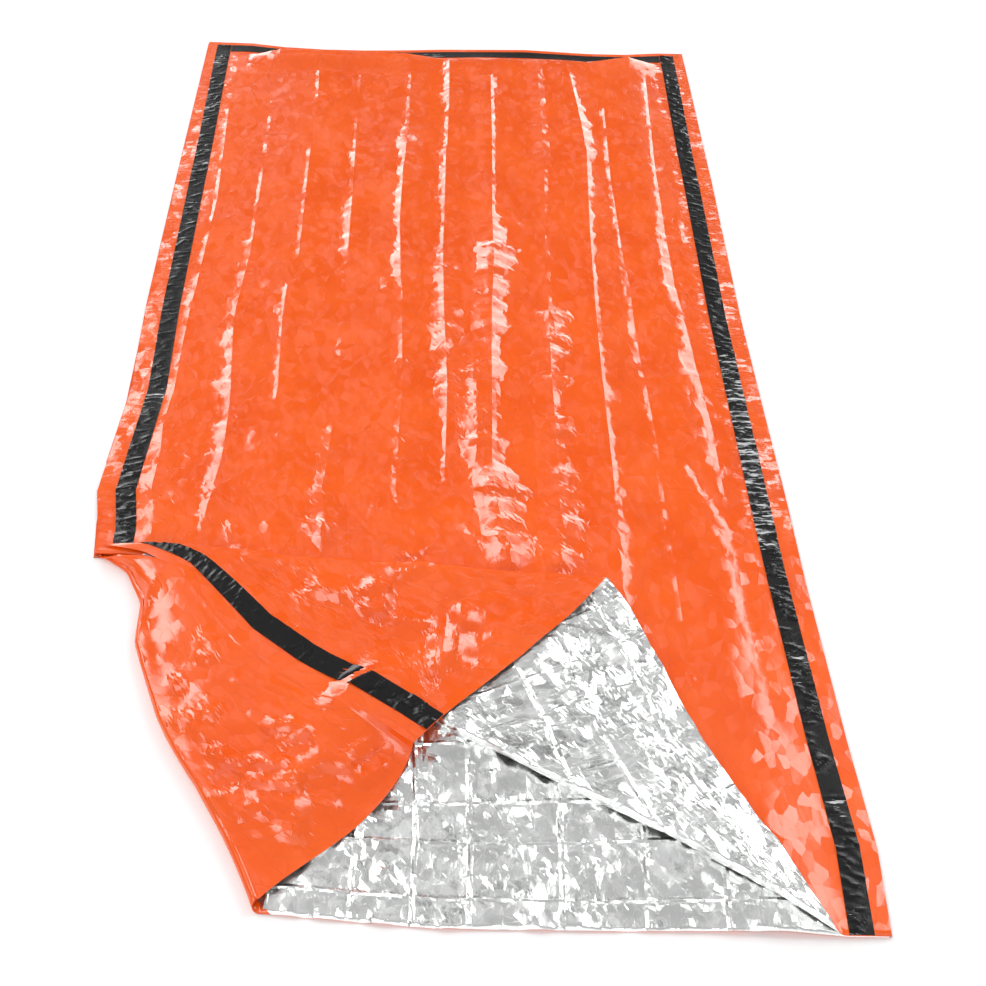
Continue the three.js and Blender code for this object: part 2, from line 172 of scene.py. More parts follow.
def along_and_across(point, origin, angle):
    """Distance along a crease and away from it, positive on the side that is turned over."""
    away = point - origin
    return away @ towards(angle), -(away @ beside(angle))


def turn_over(across, roll):
    """A sheet folded over a roll: half its turn, its reach from the crease, and its height."""
    half = math.pi * roll / 2
    turn = np.clip(across, -half, half) / roll
    reach = np.where(np.abs(across) < half, half - roll * np.cos(turn), np.abs(across))
    return half, reach, roll * (1 + np.sin(turn))


SEAM_AXIS = towards(2 * HALF_TURN)
SEAM_SIDE = beside(2 * HALF_TURN)
SEAM_START = np.array([0.0, PIVOT[1] - PIVOT[0] * math.tan(HALF_TURN)])
SECOND_FOLDED = FIRST_ANGLE + HALF_TURN
FLAP_TIP = PIVOT + PIVOT[1] / math.cos(SECOND_ANGLE) * towards(SECOND_FOLDED)


def bow_at(point):
    """The bow of the turned-over seam, which fades out towards the creases on both sides of it."""
    away = point - SEAM_START
    along = np.maximum(away @ SEAM_AXIS, 0)
    aside = away @ SEAM_SIDE
    slope = np.where(aside > 0, math.tan(SECOND_ANGLE), math.tan(HALF_TURN))
    room = along * slope + SEAM_ROOM
    return look_up(SEAM_BOW, "along", along, "bow") * np.clip(1 - np.abs(aside) / room, 0, 1)


def sway(point, height):
    """Places in the bag, with the outline's sway and the seam's bow, the same for every layer."""
    x, y = point[:, 0], point[:, 1]
    share = x / WIDTH
    left = look_up(SIDE_SWAY, "up", y, "left")
    right = look_up(SIDE_SWAY, "up", y, "right")
    foot_share = ease((y - LENGTH + FOOT_SWAY_DEPTH) / FOOT_SWAY_DEPTH)
    mouth_share = ease(1 - y / MOUTH_SWAY_DEPTH)
    foot = look_up(END_SWAY, "across", x, "foot") * foot_share
    mouth = look_up(END_SWAY, "across", x, "mouth") * mouth_share
    bow = bow_at(point)
    moved_x = x + left * (1 - share) + right * share + bow * SEAM_SIDE[0]
    moved_y = y + foot + mouth + bow * SEAM_SIDE[1]
    return np.stack([moved_x, moved_y, height], axis=1)


def loft(point):
    """Height of the upper panel's lying layer without its packing creases."""
    side = np.minimum(point[:, 0], WIDTH - point[:, 0])
    from_foot = LENGTH - point[:, 1]
    sides = look_up(SIDE_LOFT, "inset", side, "share")
    swell = LOFT * sides * ease((from_foot + EDGE_LOFT) / FOOT_SLOPE)
    along, across = along_and_across(point, PIVOT, FIRST_ANGLE)
    lift = look_up(FIRST_CREASE, "along", along, "lift") * np.exp(np.minimum(across, 0) / LIFT_FADE)
    curl = look_up(END_SWAY, "across", point[:, 0], "curl") * CURL_HEIGHT
    climb = ease((CURL_START - from_foot) / (CURL_START - CURL_TOP))
    fall = ease((CURL_TOP - from_foot) / (CURL_TOP - CURL_DROP))
    return LYING_HEIGHT + swell + lift + curl * climb * (1 - fall)


def packing_rise(point):
    rise = look_up(PACKING_CREASES, "across", point[:, 0], "rise")
    return rise * ease((LENGTH - point[:, 1]) / FOOT_SLOPE)


def settle(reach, half, roll):
    """Height of a turned layer over the one below it, which sinks away from the fold."""
    beyond = np.maximum(reach - half, 0)
    return FLAP_REST + (2 * roll - FLAP_REST) * np.exp(-((beyond / FLAP_SETTLE) ** 2))


def upper_lay(flat):
    """Where points of the flat upper panel lie, before the outline's sway, and their heights."""
    first_along, first_across = along_and_across(flat, PIVOT, FIRST_ANGLE)
    second_along, second_across = along_and_across(flat, PIVOT, SECOND_ANGLE)
    first_roll = look_up(FIRST_CREASE, "along", first_along, "roll")
    second_roll = look_up(SECOND_CREASE, "along", second_along, "roll")
    first_half, first_reach, first_height = turn_over(first_across, first_roll)
    second_half, second_reach, second_height = turn_over(second_across, second_roll)
    first_axes = towards(FIRST_ANGLE), beside(FIRST_ANGLE)
    second_axes = towards(SECOND_FOLDED), beside(SECOND_FOLDED)
    on_flap = combine(PIVOT, first_axes[0], first_along, first_axes[1], first_reach)
    on_corner = combine(PIVOT, second_axes[0], second_along, second_axes[1], -second_reach)
    point = np.where((second_across > -second_half)[:, None], on_corner, on_flap)
    turned = ease((first_across - first_half) / FLAP_SETTLE)
    distance = np.linalg.norm(point - FLAP_TIP, axis=1)
    near = turned * np.exp(-((distance / FLAP_TIP_REACH) ** 2))
    point = point + np.multiply.outer(near, FLAP_TIP_PULL)
    started = ease((first_across + first_half) / (2 * first_half))
    bed = packing_rise(point) * (1 - started) + FLAP_BED * started
    lying_along, lying_across = along_and_across(point, PIVOT, FIRST_ANGLE)
    lying_roll = look_up(FIRST_CREASE, "along", lying_along, "roll")
    over_first = settle(-lying_across, math.pi * lying_roll / 2, lying_roll)
    over_second = settle(second_reach, second_half, second_roll)
    first_height = np.where(first_across < first_half, first_height, over_first)
    second_height = np.where(second_across < second_half, second_height, over_second)
    return point, loft(point) + bed + first_height + second_height


def lower_lay(flat):
    """The same for the lower panel, whose turned-over corner ends along the upper panel's seam."""
    along, across = along_and_across(flat, THIRD_START, HALF_TURN)
    lies = SHEET / 2
    kept_along = np.maximum(along, 0)
    roll = look_up(THIRD_CREASE, "along", kept_along, "roll")
    half, reach, turn_height = turn_over(across, roll)
    axis, side = towards(HALF_TURN), beside(HALF_TURN)
    point = combine(THIRD_START, axis, along, side, reach)
    span = np.maximum(along * math.tan(HALF_TURN) - half, LEAST_SPAN)
    rise = np.clip((across - half) / span, 0, 1)
    inward = look_up(THIRD_CREASE, "along", kept_along, "inward") * (1 - rise)
    point = point + np.multiply.outer(inward * np.exp(-((reach / INWARD_FADE) ** 2)), side)
    bulge = np.sin(math.pi * rise)
    hem = CORNER_BULGE * np.exp(-flat[:, 1] / CORNER_BULGE_DEPTH) * bulge
    from_start = np.linalg.norm(flat - THIRD_START, axis=1)
    seam_up = np.maximum(THIRD_START[1] - from_start, 0)
    seam_point, seam_height = upper_lay(np.stack([np.zeros_like(seam_up), seam_up], axis=1))
    own = combine(THIRD_START, SEAM_AXIS, from_start, SEAM_SIDE, np.zeros_like(from_start))
    join = rise * ease((from_start - CORNER_JOIN[0]) / (CORNER_JOIN[1] - CORNER_JOIN[0]))
    turned = point + np.multiply.outer(hem, SEAM_AXIS) + (seam_point - own) * join[:, None]
    climb = ease((from_start - CORNER_CLIMB[0]) / (CORNER_CLIMB[1] - CORNER_CLIMB[0]))
    top = lies + 2 * roll
    rounded = 1 - (1 - rise) ** CORNER_ROUNDNESS
    turned_height = top + rounded * climb * (seam_height - top)
    droop = HEM_DROOP * ease(1 - flat[:, 1] / HEM_DROOP_DEPTH) * bulge ** HEM_ROUNDNESS
    turned_height = turned_height - droop * (turned_height - HEM_REST)
    over = across > half
    point = np.where(over[:, None], turned, point)
    height = np.where(over, turned_height, lies + turn_height)
    flat_part = along <= 0
    point = np.where(flat_part[:, None], flat, point)
    return point, np.where(flat_part, lies, height)


def upper_place(flat):
    return sway(*upper_lay(flat))


def lower_place(flat):
    return sway(*lower_lay(flat))


# Lines of the sheets, which run along the folds, and how their places and faces are made uneven

ROLL_STEPS = np.linspace(-1, 1, 11)
CORNER_SHARE = 0.004
SAME_PLACE_DIGITS = 3
STIR = 0.32
STILL_COLUMNS = 2
CUT_MIX = (7, 13, 5)
LEAST_LENGTH = 1e-9
SHARP_ANGLE = math.radians(9)


def crease_line(start, end, crease, turn_share):
    """A line from the left edge to the mouth, at a share of a fold's turn on one side of its crease."""
    angle = math.atan2(end - min(start[0], 0), start[1])
    first_up = start[1] + start[0] / math.tan(angle)
    total = math.hypot(end - start[0], start[1])

    def line(share):
        half = math.pi * look_up(crease, "along", share * total, "roll") / 2
        across = share * (end - turn_share * half / math.cos(angle))
        up = (1 - share) * (first_up - turn_share * half / math.sin(angle))
        return np.stack([across, up], axis=-1)

    return line


def roll_lines(start, end, crease):
    """The lines of a fold, from the side that lies to the side that is turned over."""
    return [crease_line(start, end, crease, share) for share in ROLL_STEPS]


def straight_line(up, across):
    return lambda share: np.stack([share * across, (1 - share) * up], axis=-1)


def between_lines(one, other, part):
    return lambda share: one(share) * (1 - part) + other(share) * part


def closing_lines(last, count):
    """Lines that close up from the last line of a fold into the sheet's corner."""
    parts = np.linspace(1, CORNER_SHARE, count)[1:]
    return [straight_line(part * last(0.0)[1], part * last(1.0)[0]) for part in parts]


def shares_on_line(line, columns, kept):
    """Columns nearest the left edge keep their distance from it, and the rest spread over the line."""
    end = line(1.0)[0]
    if end <= kept:
        return np.minimum(columns / end, 1)
    spaced = kept + (columns - kept) / (columns[-1] - kept) * (end - kept)
    return np.where(columns <= kept, columns, spaced) / end


def sheet_rows(full_rows, down_rows, left, right, kept, lines, drift):
    """Rows of places over a sheet: full rows, rows that close up to the fold, then lines along it."""
    columns = np.concatenate([left, right])
    edge = lines[0]
    limit = np.concatenate([edge(shares_on_line(edge, left, kept))[:, 1], np.zeros(len(right))])
    ups = [np.full(len(columns), float(up)) for up in full_rows]
    ups += [full_rows[-1] + part * (limit - full_rows[-1]) for part in down_rows]
    rows = [np.stack([columns + drift(columns, up), up], axis=1) for up in ups]
    rows += [line(shares_on_line(line, left, kept)) for line in lines]
    mouth = np.stack([right, np.zeros(len(right))], axis=1)
    rows[len(ups)] = np.concatenate([rows[len(ups)], mouth])
    return rows


class Sheet:
    """A sheet's places on the flat film, without repeats, and the faces between its rows."""

    def __init__(self, rows):
        spots = np.concatenate(rows)
        rounded = np.round(spots, SAME_PLACE_DIGITS)
        _, first, index = np.unique(rounded, axis=0, return_index=True, return_inverse=True)
        self.flat = spots[first]
        ends = np.cumsum([len(row) for row in rows])
        self.rows = np.split(index.ravel(), ends[:-1])

    def stir(self, numbers, kept_columns, seed):
        """Moves the places inside these rows at random, by a share of the way to their neighbours."""
        random = np.random.default_rng(seed)
        for number in numbers:
            above, row, below = self.rows[number - 1:number + 2]
            count = min(len(above), len(row), len(below))
            loose = np.setdiff1d(np.arange(STILL_COLUMNS, count - STILL_COLUMNS), kept_columns)
            here = self.flat[row[loose]]
            aside, along = random.uniform(-STIR, STIR, (2, len(loose), 1))
            next_one = np.where(aside > 0, self.flat[row[loose + 1]], self.flat[row[loose - 1]])
            next_row = np.where(along > 0, self.flat[above[loose]], self.flat[below[loose]])
            self.flat[row[loose]] += np.abs(aside) * (next_one - here) + np.abs(along) * (next_row - here)

    def faces(self, numbers):
        """Triangles between the rows with these numbers, which aren't all cut along the same diagonal."""
        quads = []
        for one, other in zip(numbers[:-1], numbers[1:]):
            count = min(len(self.rows[one]), len(self.rows[other]))
            a, b = self.rows[one][:count], self.rows[other][:count]
            quads.append(np.stack([a[:-1], b[:-1], b[1:], a[1:]], axis=1))
        quads = np.concatenate(quads)
        one, other, step = CUT_MIX
        turns = (quads[:, 0] * one + quads[:, 2] * other) // step % 2
        found = []
        for (a, b, c, d), turn in zip(quads.tolist(), turns):
            halves = ([a, b, c], [a, c, d]) if turn else ([a, b, d], [b, c, d])
            found += [half for half in halves if len(set(half)) == len(half)]
        return found


def rim_loop(faces):
    """The corners round the rim of a sheet, in order."""
    edges = {(f[i - 1], f[i]) for f in faces for i in range(len(f))}
    after = {a: b for a, b in edges if (b, a) not in edges}
    start = min(after)
    loop = [start]
    while after[loop[-1]] != start:
        loop.append(after[loop[-1]])
    return loop


def vertex_normals(places, faces):
    """Mean of the triangles' normals at each place, by area, with twice the weight at their last corners."""
    corners = np.array(faces)
    start, middle, end = places[corners].transpose(1, 0, 2)
    across = np.cross(middle - start, end - start)
    normals = np.zeros_like(places)
    for corner in (0, 1, 2, 2):
        np.add.at(normals, corners[:, corner], across)
    return normals / np.maximum(np.linalg.norm(normals, axis=1, keepdims=True), LEAST_LENGTH)


def thin_body(name, places, flat, sides, thickness, outward, materials, rolled=(), sink=0, shut=()):
    """A closed thin sheet: its outer faces, its inner faces, which may be fewer and sink, and its rim.

    The rolled points stay smooth however tightly they turn. The inner side has the second material, except
    on the sealed seam along the left edge and at the shut points of a fold.
    """
    outer, inner = sides
    normals = vertex_normals(places, outer) * outward
    count = len(places)
    under = places - normals * thickness / 2
    under[:, 2] -= sink
    points = np.concatenate([places + normals * thickness / 2, under])
    loop = rim_loop(outer)
    kept = set(rim_loop(inner))
    stops = [i for i, corner in enumerate(loop) if corner in kept]
    faces = outer + [[corner + count for corner in face[::-1]] for face in inner]
    for here, there in zip(stops, stops[1:] + [stops[0] + len(loop)]):
        run = [loop[i % len(loop)] for i in range(here, there + 1)]
        faces.append(run[::-1] + [run[0] + count, run[-1] + count])
    if outward < 0:
        faces = [face[::-1] for face in faces]
    slots = np.zeros(len(faces), int)
    shut = set(shut)
    for number, face in enumerate(inner, len(outer)):
        slots[number] = flat[face, 0].max() > TAPE_INNER and shut.isdisjoint(face)
    rolled = np.array(rolled, int)
    round_points = np.concatenate([rolled, rolled + count])
    return add_mesh(name, points, np.concatenate([flat, flat]), faces, slots, materials, round_points)


def add_mesh(name, points, flat, faces, slots, materials, round_points):
    """A smooth mesh object in metres, which keeps each point's place on the flat film."""
    used = np.unique(np.concatenate([np.array(face) for face in faces]))
    number = np.zeros(len(points), int)
    number[used] = np.arange(len(used))
    faces = [number[face].tolist() for face in faces]
    is_round = np.isin(used, round_points)
    points, flat = points[used], flat[used]
    mesh = bpy.data.meshes.new(name)
    mesh.from_pydata(((points + ORIGIN) * MM).tolist(), [], faces)
    kept = mesh.attributes.new("flat", "FLOAT_VECTOR", "POINT")
    spots = np.concatenate([flat, np.zeros((len(flat), 1))], axis=1) * MM
    kept.data.foreach_set("vector", spots.astype(np.float32).ravel())
    for material in materials:
        mesh.materials.append(material)
    mesh.polygons.foreach_set("material_index", slots)
    mesh.polygons.foreach_set("use_smooth", np.ones(len(mesh.polygons), bool))
    mesh.set_sharp_from_angle(angle=SHARP_ANGLE)
    ends = np.zeros(2 * len(mesh.edges), int)
    mesh.edges.foreach_get("vertices", ends)
    sharp = np.zeros(len(mesh.edges), bool)
    mesh.attributes["sharp_edge"].data.foreach_get("value", sharp)
    sharp &= ~is_round[ends.reshape(-1, 2)].all(axis=1)
    mesh.attributes["sharp_edge"].data.foreach_set("value", sharp)
    mesh.update()
    piece = bpy.data.objects.new(name, mesh)
    bpy.context.scene.collection.objects.link(piece)
    return piece


# Creases of the film

CREASE_FADE = 0.3
RAGGED_WAVES = (190, 97, 53, 31)
RAGGED_REACH = 2.6


def add_crease(height, flat, start, end, rise, left, right):
    """Adds a ridge, or a trough, from start to end, with its own width on each side of its line."""
    start, end = np.array(start, float), np.array(end, float)
    length = np.linalg.norm(end - start)
    axis = (end - start) / length
    reach = max(left, right)
    low, high = np.minimum(start, end) - reach, np.maximum(start, end) + reach
    near = np.nonzero(((flat > low) & (flat < high)).all(axis=1))[0]
    away = flat[near] - start
    along = away @ axis
    aside = away @ np.array([axis[1], -axis[0]])
    fade = CREASE_FADE * length
    ends = ease(along / fade) * ease((length - along) / fade)
    slope = np.maximum(0, 1 - np.abs(aside) / np.where(aside < 0, left, right))
    height[near] += rise * ends * slope


def add_crinkles(height, flat, rows):
    """Adds many short creases with seeded places and turns, which rise or sink by their slope."""
    for seed, count, x0, y0, x1, y1, short, long, narrow, wide, gentle, steep in zip(*rows.values()):
        random = np.random.default_rng(int(seed))
        low, high = np.array([x0, y0]), np.array([x1, y1])
        for _ in range(int(count)):
            middle = low + (high - low) * random.random(2)
            angle = random.uniform(0, math.pi)
            half = random.uniform(short, long) / 2 * np.array([math.cos(angle), math.sin(angle)])
            left, right = random.uniform(narrow, wide, 2)
            rise = random.choice((-1, 1)) * random.uniform(gentle, steep) * min(left, right)
            add_crease(height, flat, middle - half, middle + half, rise, left, right)


def ragged(up, seed):
    """An uneven value between about -1 and 1 along a line."""
    random = np.random.default_rng(seed)
    total = np.zeros_like(up)
    for wave in RAGGED_WAVES:
        total += np.sin(up * 2 * math.pi / wave + random.uniform(0, 2 * math.pi))
    return total / RAGGED_REACH


# Long creases of the upper panel: the side on which the film slopes away from the crease, whether the
# crease is a ridge or a trough, and its place and the slope's width by distance from the mouth
def long_crease(side, kind, *rows):
    return {"side": side, "kind": kind, "rows": table("up across width", *rows)}


LONG_CREASES = [
    long_crease(
        -1, 1, (560, 76, 0), (640, 80, 10), (760, 76, 16), (816, 68, 9), (1000, 71, 8),
        (1166, 78, 8), (1416, 84, 7), (1714, 71, 6), (1760, 71, 0),
    ),
    long_crease(
        -1, 1, (590, 148, 0), (614, 148, 14), (678, 166, 16), (740, 170, 30), (790, 167, 22),
        (948, 154, 24), (1064, 149, 18), (1266, 160, 16), (1320, 159, 8), (1481, 158, 7),
        (1751, 156, 6), (1790, 156, 0),
    ),
    long_crease(
        -1, 1, (860, 231, 0), (880, 231, 8), (1064, 229, 8), (1148, 231, 7), (1170, 233, 0),
        (1220, 244, 0), (1240, 244, 7), (1590, 241, 6), (1610, 241, 0), (1750, 244, 0),
        (1765, 243, 7), (1875, 239, 7), (1890, 238, 0),
    ),
    long_crease(
        -1, 1, (555, 318, 0), (600, 320, 30), (680, 322, 26), (735, 324, 8), (745, 324, 20),
        (800, 324, 16), (820, 324, 4), (940, 326, 3), (1014, 326, 9), (1040, 326, 3),
        (1230, 328, 4), (1260, 328, 20), (1380, 328, 20), (1430, 327, 9), (1691, 324, 7),
        (1720, 324, 0), (1780, 324, 0), (1800, 324, 7), (1884, 324, 7), (1900, 324, 0),
    ),
    long_crease(
        -1, 1, (640, 428, 0), (658, 428, 8), (780, 427, 8), (790, 426, 2), (800, 426, 8),
        (1130, 426, 8), (1150, 425, 2), (1181, 421, 16), (1270, 419, 14), (1310, 417, 4),
        (1350, 416, 12), (1518, 418, 14), (1545, 420, 5), (1570, 421, 18), (1664, 424, 18),
        (1690, 425, 7), (1891, 426, 7), (1910, 426, 0),
    ),
    long_crease(
        -1, 1, (690, 498, 0), (704, 498, 6), (840, 498, 7), (850, 498, 24), (1060, 497, 26),
        (1266, 494, 20), (1290, 494, 8), (1400, 496, 8), (1414, 496, 16), (1586, 498, 16),
        (1610, 500, 6), (1736, 503, 8), (1760, 504, 18), (1944, 504, 16), (1960, 504, 0),
    ),
    long_crease(
        1, 1, (525, 582, 0), (540, 580, 40), (604, 573, 52), (720, 568, 44), (735, 568, 14),
        (780, 568, 30), (795, 568, 9), (900, 568, 9), (920, 569, 22), (1060, 574, 24),
        (1150, 578, 28), (1224, 581, 44), (1290, 581, 34), (1378, 581, 14), (1400, 582, 6),
        (1640, 586, 6), (1660, 586, 10), (1860, 588, 10), (1880, 588, 0),
    ),
    long_crease(
        1, 1, (525, 654, 0), (540, 654, 38), (678, 664, 38), (690, 666, 26), (838, 666, 36),
        (850, 666, 16), (900, 665, 14), (915, 665, 36), (1100, 672, 34), (1120, 674, 8),
        (1284, 675, 7), (1540, 683, 7), (1565, 684, 12), (1940, 686, 12), (1955, 686, 0),
    ),
    long_crease(
        1, 1, (380, 736, 0), (420, 736, 9), (478, 737, 9), (681, 746, 11), (928, 746, 9),
        (1080, 751, 8), (1324, 756, 9), (1540, 764, 10), (1584, 766, 24), (1700, 761, 18),
        (1774, 758, 12), (1884, 751, 7), (1900, 751, 0),
    ),
    long_crease(
        -1, -1, (300, 820, 0), (340, 820, 9), (420, 816, 10), (540, 815, 9), (774, 820, 8), (960, 815, 8),
        (991, 814, 14), (1188, 816, 15), (1246, 811, 9), (1504, 807, 9), (1740, 813, 9),
        (1760, 815, 0),
    ),
    long_crease(
        -1, -1, (240, 908, 0), (290, 908, 9), (420, 907, 13), (481, 906, 14), (600, 905, 14), (625, 906, 2),
        (668, 908, 10), (818, 911, 14), (1000, 905, 26), (1020, 904, 14), (1120, 899, 8),
        (1186, 896, 24), (1328, 894, 22), (1380, 894, 9), (1538, 895, 8), (1904, 911, 7),
        (1920, 911, 0),
    ),
]
PATCH_CREASES = [
    long_crease(-1, 1, (720, 546, 0), (735, 545, 22), (850, 544, 34), (940, 541, 26), (965, 539, 0)),
    long_crease(
        -1, -1, (500, 936, 0), (566, 938, 8), (766, 946, 10), (938, 948, 10), (1128, 946, 8),
        (1200, 940, 10), (1251, 941, 16), (1374, 932, 14), (1400, 932, 0), (1740, 944, 0),
        (1761, 944, 22), (1966, 944, 20), (1980, 944, 0),
    ),
]

# Columns of the upper panel that follow its long creases, before they drift with them
CREASE_BASES = np.array([76, 157, 237, 325, 423, 498, 575, 668, 751, 814, 902], float)
DRIFT_START, DRIFT_EASE = 540, 120

# Slope of the long creases, less towards the sides and more towards the foot
CREASE_SLOPE = 0.28
CREASE_SLOPE_FALL = 0.42
CREASE_SLOPE_GAIN = 0.09
CREASE_WIDTH_SHARE = 0.85
LEAST_WIDTH = 0.1
GENTLE_WIDTH = 32
RAGGED_SHARE = 0.4


def drift(columns, up):
    """How far the columns of the upper panel stray, so that they follow its long creases."""
    shifts = [np.zeros_like(columns)]
    for base, line in zip(CREASE_BASES, LONG_CREASES):
        shifts.append(look_up(line["rows"], "up", up, "across") - base)
    shifts.append(np.zeros_like(columns))
    shifts = np.array(shifts)
    bases = np.concatenate([[0], CREASE_BASES, [WIDTH]])
    above = np.clip(np.searchsorted(bases, columns, side="right"), 1, len(bases) - 1)
    share = (columns - bases[above - 1]) / (bases[above] - bases[above - 1])
    spots = np.arange(len(columns))
    calm = ease((up - DRIFT_START) / DRIFT_EASE)
    return (shifts[above - 1, spots] * (1 - share) + shifts[above, spots] * share) * calm


def no_drift(columns, up):
    return 0


def add_long_creases(height, flat):
    up = flat[:, 1]
    for number, line in enumerate(LONG_CREASES + PATCH_CREASES):
        line_across = look_up(line["rows"], "up", up, "across")
        width = look_up(line["rows"], "up", up, "width")
        width = width * CREASE_WIDTH_SHARE * (1 + RAGGED_SHARE * ragged(up, number))
        slope = CREASE_SLOPE - CREASE_SLOPE_FALL * np.abs(line_across / WIDTH - 0.5)
        slope = slope + CREASE_SLOPE_GAIN * up / WIDTH
        rise = line["kind"] * slope * width
        aside = (flat[:, 0] - line_across) * line["side"]
        sloped = np.maximum(0, 1 - aside / np.maximum(width, LEAST_WIDTH))
        gentle = np.maximum(0, 1 + aside / GENTLE_WIDTH)
        height += rise * np.where(aside > 0, sloped, gentle)


# Folds, given one by one as start, end, rise and the width on each side
def folds(*rows):
    return table("x0 y0 x1 y1 rise left right", *rows)


def add_folds(height, flat, rows, rise_share=1, width_share=1):
    for x0, y0, x1, y1, rise, left, right in zip(*rows.values()):
        widths = left * width_share, right * width_share
        add_crease(height, flat, (x0, y0), (x1, y1), rise * rise_share, *widths)


LYING_FOLDS = folds(
    (854, 761, 906, 610, -3, 22, 8),
    (236, 620, 266, 545, 2, 8, 14),
    (514, 630, 545, 556, 3, 8, 18),
    (406, 530, 492, 570, -4, 10, 22),
    (394, 1190, 400, 1140, 3, 14, 10),
    (526, 1680, 528, 1615, 2, 8, 12),
    (531, 1600, 533, 1550, 2, 8, 12),
    (528, 1460, 530, 1405, 2, 8, 12),
    (608, 1390, 642, 1310, 2, 7, 16),
    (831, 1845, 826, 1780, 2.4, 14, 8),
)
FLAP_FOLDS = folds(
    (104, 330, 112, 262, -5, 14, 12),
    (108, 280, 136, 211, 6, 22, 12),
    (136, 211, 181, 204, 6, 16, 14),
    (181, 204, 240, 172, 5, 20, 12),
    (181, 204, 122, 156, 5, 8, 20),
    (136, 208, 124, 160, 4, 16, 8),
    (132, 166, 156, 104, 5, 14, 22),
    (156, 106, 86, 48, 6, 18, 9),
    (210, 116, 104, 42, 6, 22, 10),
    (186, 78, 132, 22, -4, 12, 20),
    (98, 280, 66, 222, 4, 10, 14),
    (74, 58, 90, 40, -4, 12, 10),
    (226, 178, 208, 112, 3, 12, 14),
)
TURNED_FOLDS = folds(
    (0, 447, 58, 433, 6, 34, 9),
    (60, 470, 50, 424, 4, 20, 7),
    (36, 328, 20, 282, 3, 8, 14),
    (56, 300, 24, 276, 3, 9, 12),
    (24, 214, 12, 146, 4, 8, 18),
    (96, 298, 76, 288, 4, 12, 12),
    (100, 252, 92, 214, 4, 9, 16),
    (136, 250, 106, 252, 4, 10, 14),
    (106, 254, 126, 204, 4, 10, 12),
    (126, 198, 136, 150, 5, 14, 12),
    (136, 150, 178, 152, -6, 12, 16),
    (80, 154, 54, 154, 5, 12, 14),
    (54, 154, 54, 108, 5, 16, 10),
    (54, 110, 96, 122, -5, 10, 18),
    (122, 148, 104, 102, 5, 10, 14),
    (104, 104, 128, 76, 5, 14, 12),
    (148, 134, 124, 86, 4, 9, 13),
    (174, 148, 196, 84, 4, 10, 14),
    (166, 110, 178, 72, 3, 9, 14),
    (74, 62, 14, 36, 6, 26, 14),
    (128, 76, 70, 54, -5, 12, 16),
    (70, 54, 4, 30, -7, 12, 14),
    (126, 80, 190, 30, 5, 16, 14),
    (22, 138, 2, 66, -6, 12, 12),
)
FOIL_FOLDS = folds(
    (491, 93, 508, -4, 2.5, 6, 6),
    (644, 78, 660, 8, 3, 6, 7),
    (424, 116, 490, 110, 4, 26, 18),
    (486, 112, 540, 114, 4, 22, 20),
    (536, 112, 560, 145, 4, 24, 14),
    (654, 78, 680, 30, -4, 14, 12),
    (676, 31, 730, 72, -4, 16, 10),
    (404, 124, 440, 68, 3, 7, 9),
    (330, 60, 372, 6, 3, 16, 9),
)
CORNER_FOLD_RISE, CORNER_FOLD_WIDTH = 1.5, 1.35

# Packing lines of the foil, by place across it, and by distance from the mouth with their tilt
FOIL_GRID_ACROSS = (295, 391, 461, 525, 631, 728, 820)
FOIL_GRID_UP = ((340, 10), (255, -8), (170, 6), (115, 30), (40, 14))
FOIL_GRID = folds(
    *[(across + 3, 420, across - 3, -120, 1.2, 5, 5) for across in FOIL_GRID_ACROSS],
    *[(100, up, 1100, up - tilt, 0.9, 6, 5) for up, tilt in FOIL_GRID_UP],
)


# Small creases, as a seed, a count, the corners of their area, and the ranges of length, width and slope
def crinkles(*rows):
    return table("seed count x0 y0 x1 y1 short long narrow wide gentle steep", *rows)


LYING_CRINKLES = crinkles(
    (11, 700, 30, 560, 970, 1980, 25, 90, 8, 20, 0.02, 0.07),
    (12, 260, 60, 560, 560, 800, 25, 80, 8, 16, 0.03, 0.09),
)
FLAP_FOIL_CRINKLES = crinkles((21, 420, 240, 0, 950, 330, 30, 120, 8, 22, 0.06, 0.22))
FLAP_CRINKLES = crinkles((31, 260, 0, 0, 330, 520, 25, 110, 9, 26, 0.03, 0.12))
FOIL_CRINKLES = crinkles((41, 800, 200, -10, 960, 520, 20, 90, 8, 18, 0.06, 0.24))
TURNED_CRINKLES = crinkles((51, 120, 0, 0, 290, 520, 30, 120, 12, 30, 0.02, 0.09))

# The pinch of the turned-over seam
PINCH_UP = 116
PINCH_DROP = 20
PINCH_RAMP = 80
PINCH_HEIGHT = 7
PINCH_HOLLOW, PINCH_HOLLOW_REACH = 3, 34

# Where the upper panel's creases calm down: beside the tapes, at the foot and under the turned-over film
SEAM_FADE = 46
SIDE_CALM = 24
FOOT_CALM_START, FOOT_CALM = 44, 40
FLAP_COVER, FLAP_COVER_START, FLAP_COVER_CALM = 24, 0.7, 0.95
CORNER_COVER, CORNER_COVER_CALM = 30, 0.8
FLAP_LOWEST = -2.5
FLAP_FOIL_RANGE = (-1.8, 7)
SECOND_END = PIVOT[1] * math.tan(SECOND_ANGLE) + PIVOT[0]

# The lower panel's foil: its height where it is covered and open, its swell in front of the first crease,
# the room under the upper panel there, and where it calms down
FOIL_BASE = 1.6
FOIL_SHUT, FOIL_OPEN = 1.2, 6
FOIL_OPEN_START, FOIL_OPEN_EASE = 4, 12
FOIL_END, FOIL_END_EASE = 540, 90
FOIL_SWELL = 9
SWELL_FRONT, SWELL_FRONT_EASE = 110, 130
SWELL_BACK, SWELL_BACK_EASE = 260, 150
SWELL_START = 260
ROOF_EDGE, ROOF_GAP = 30, 3.5
FOLD_CALM_START, FOLD_CALM = 8, 20

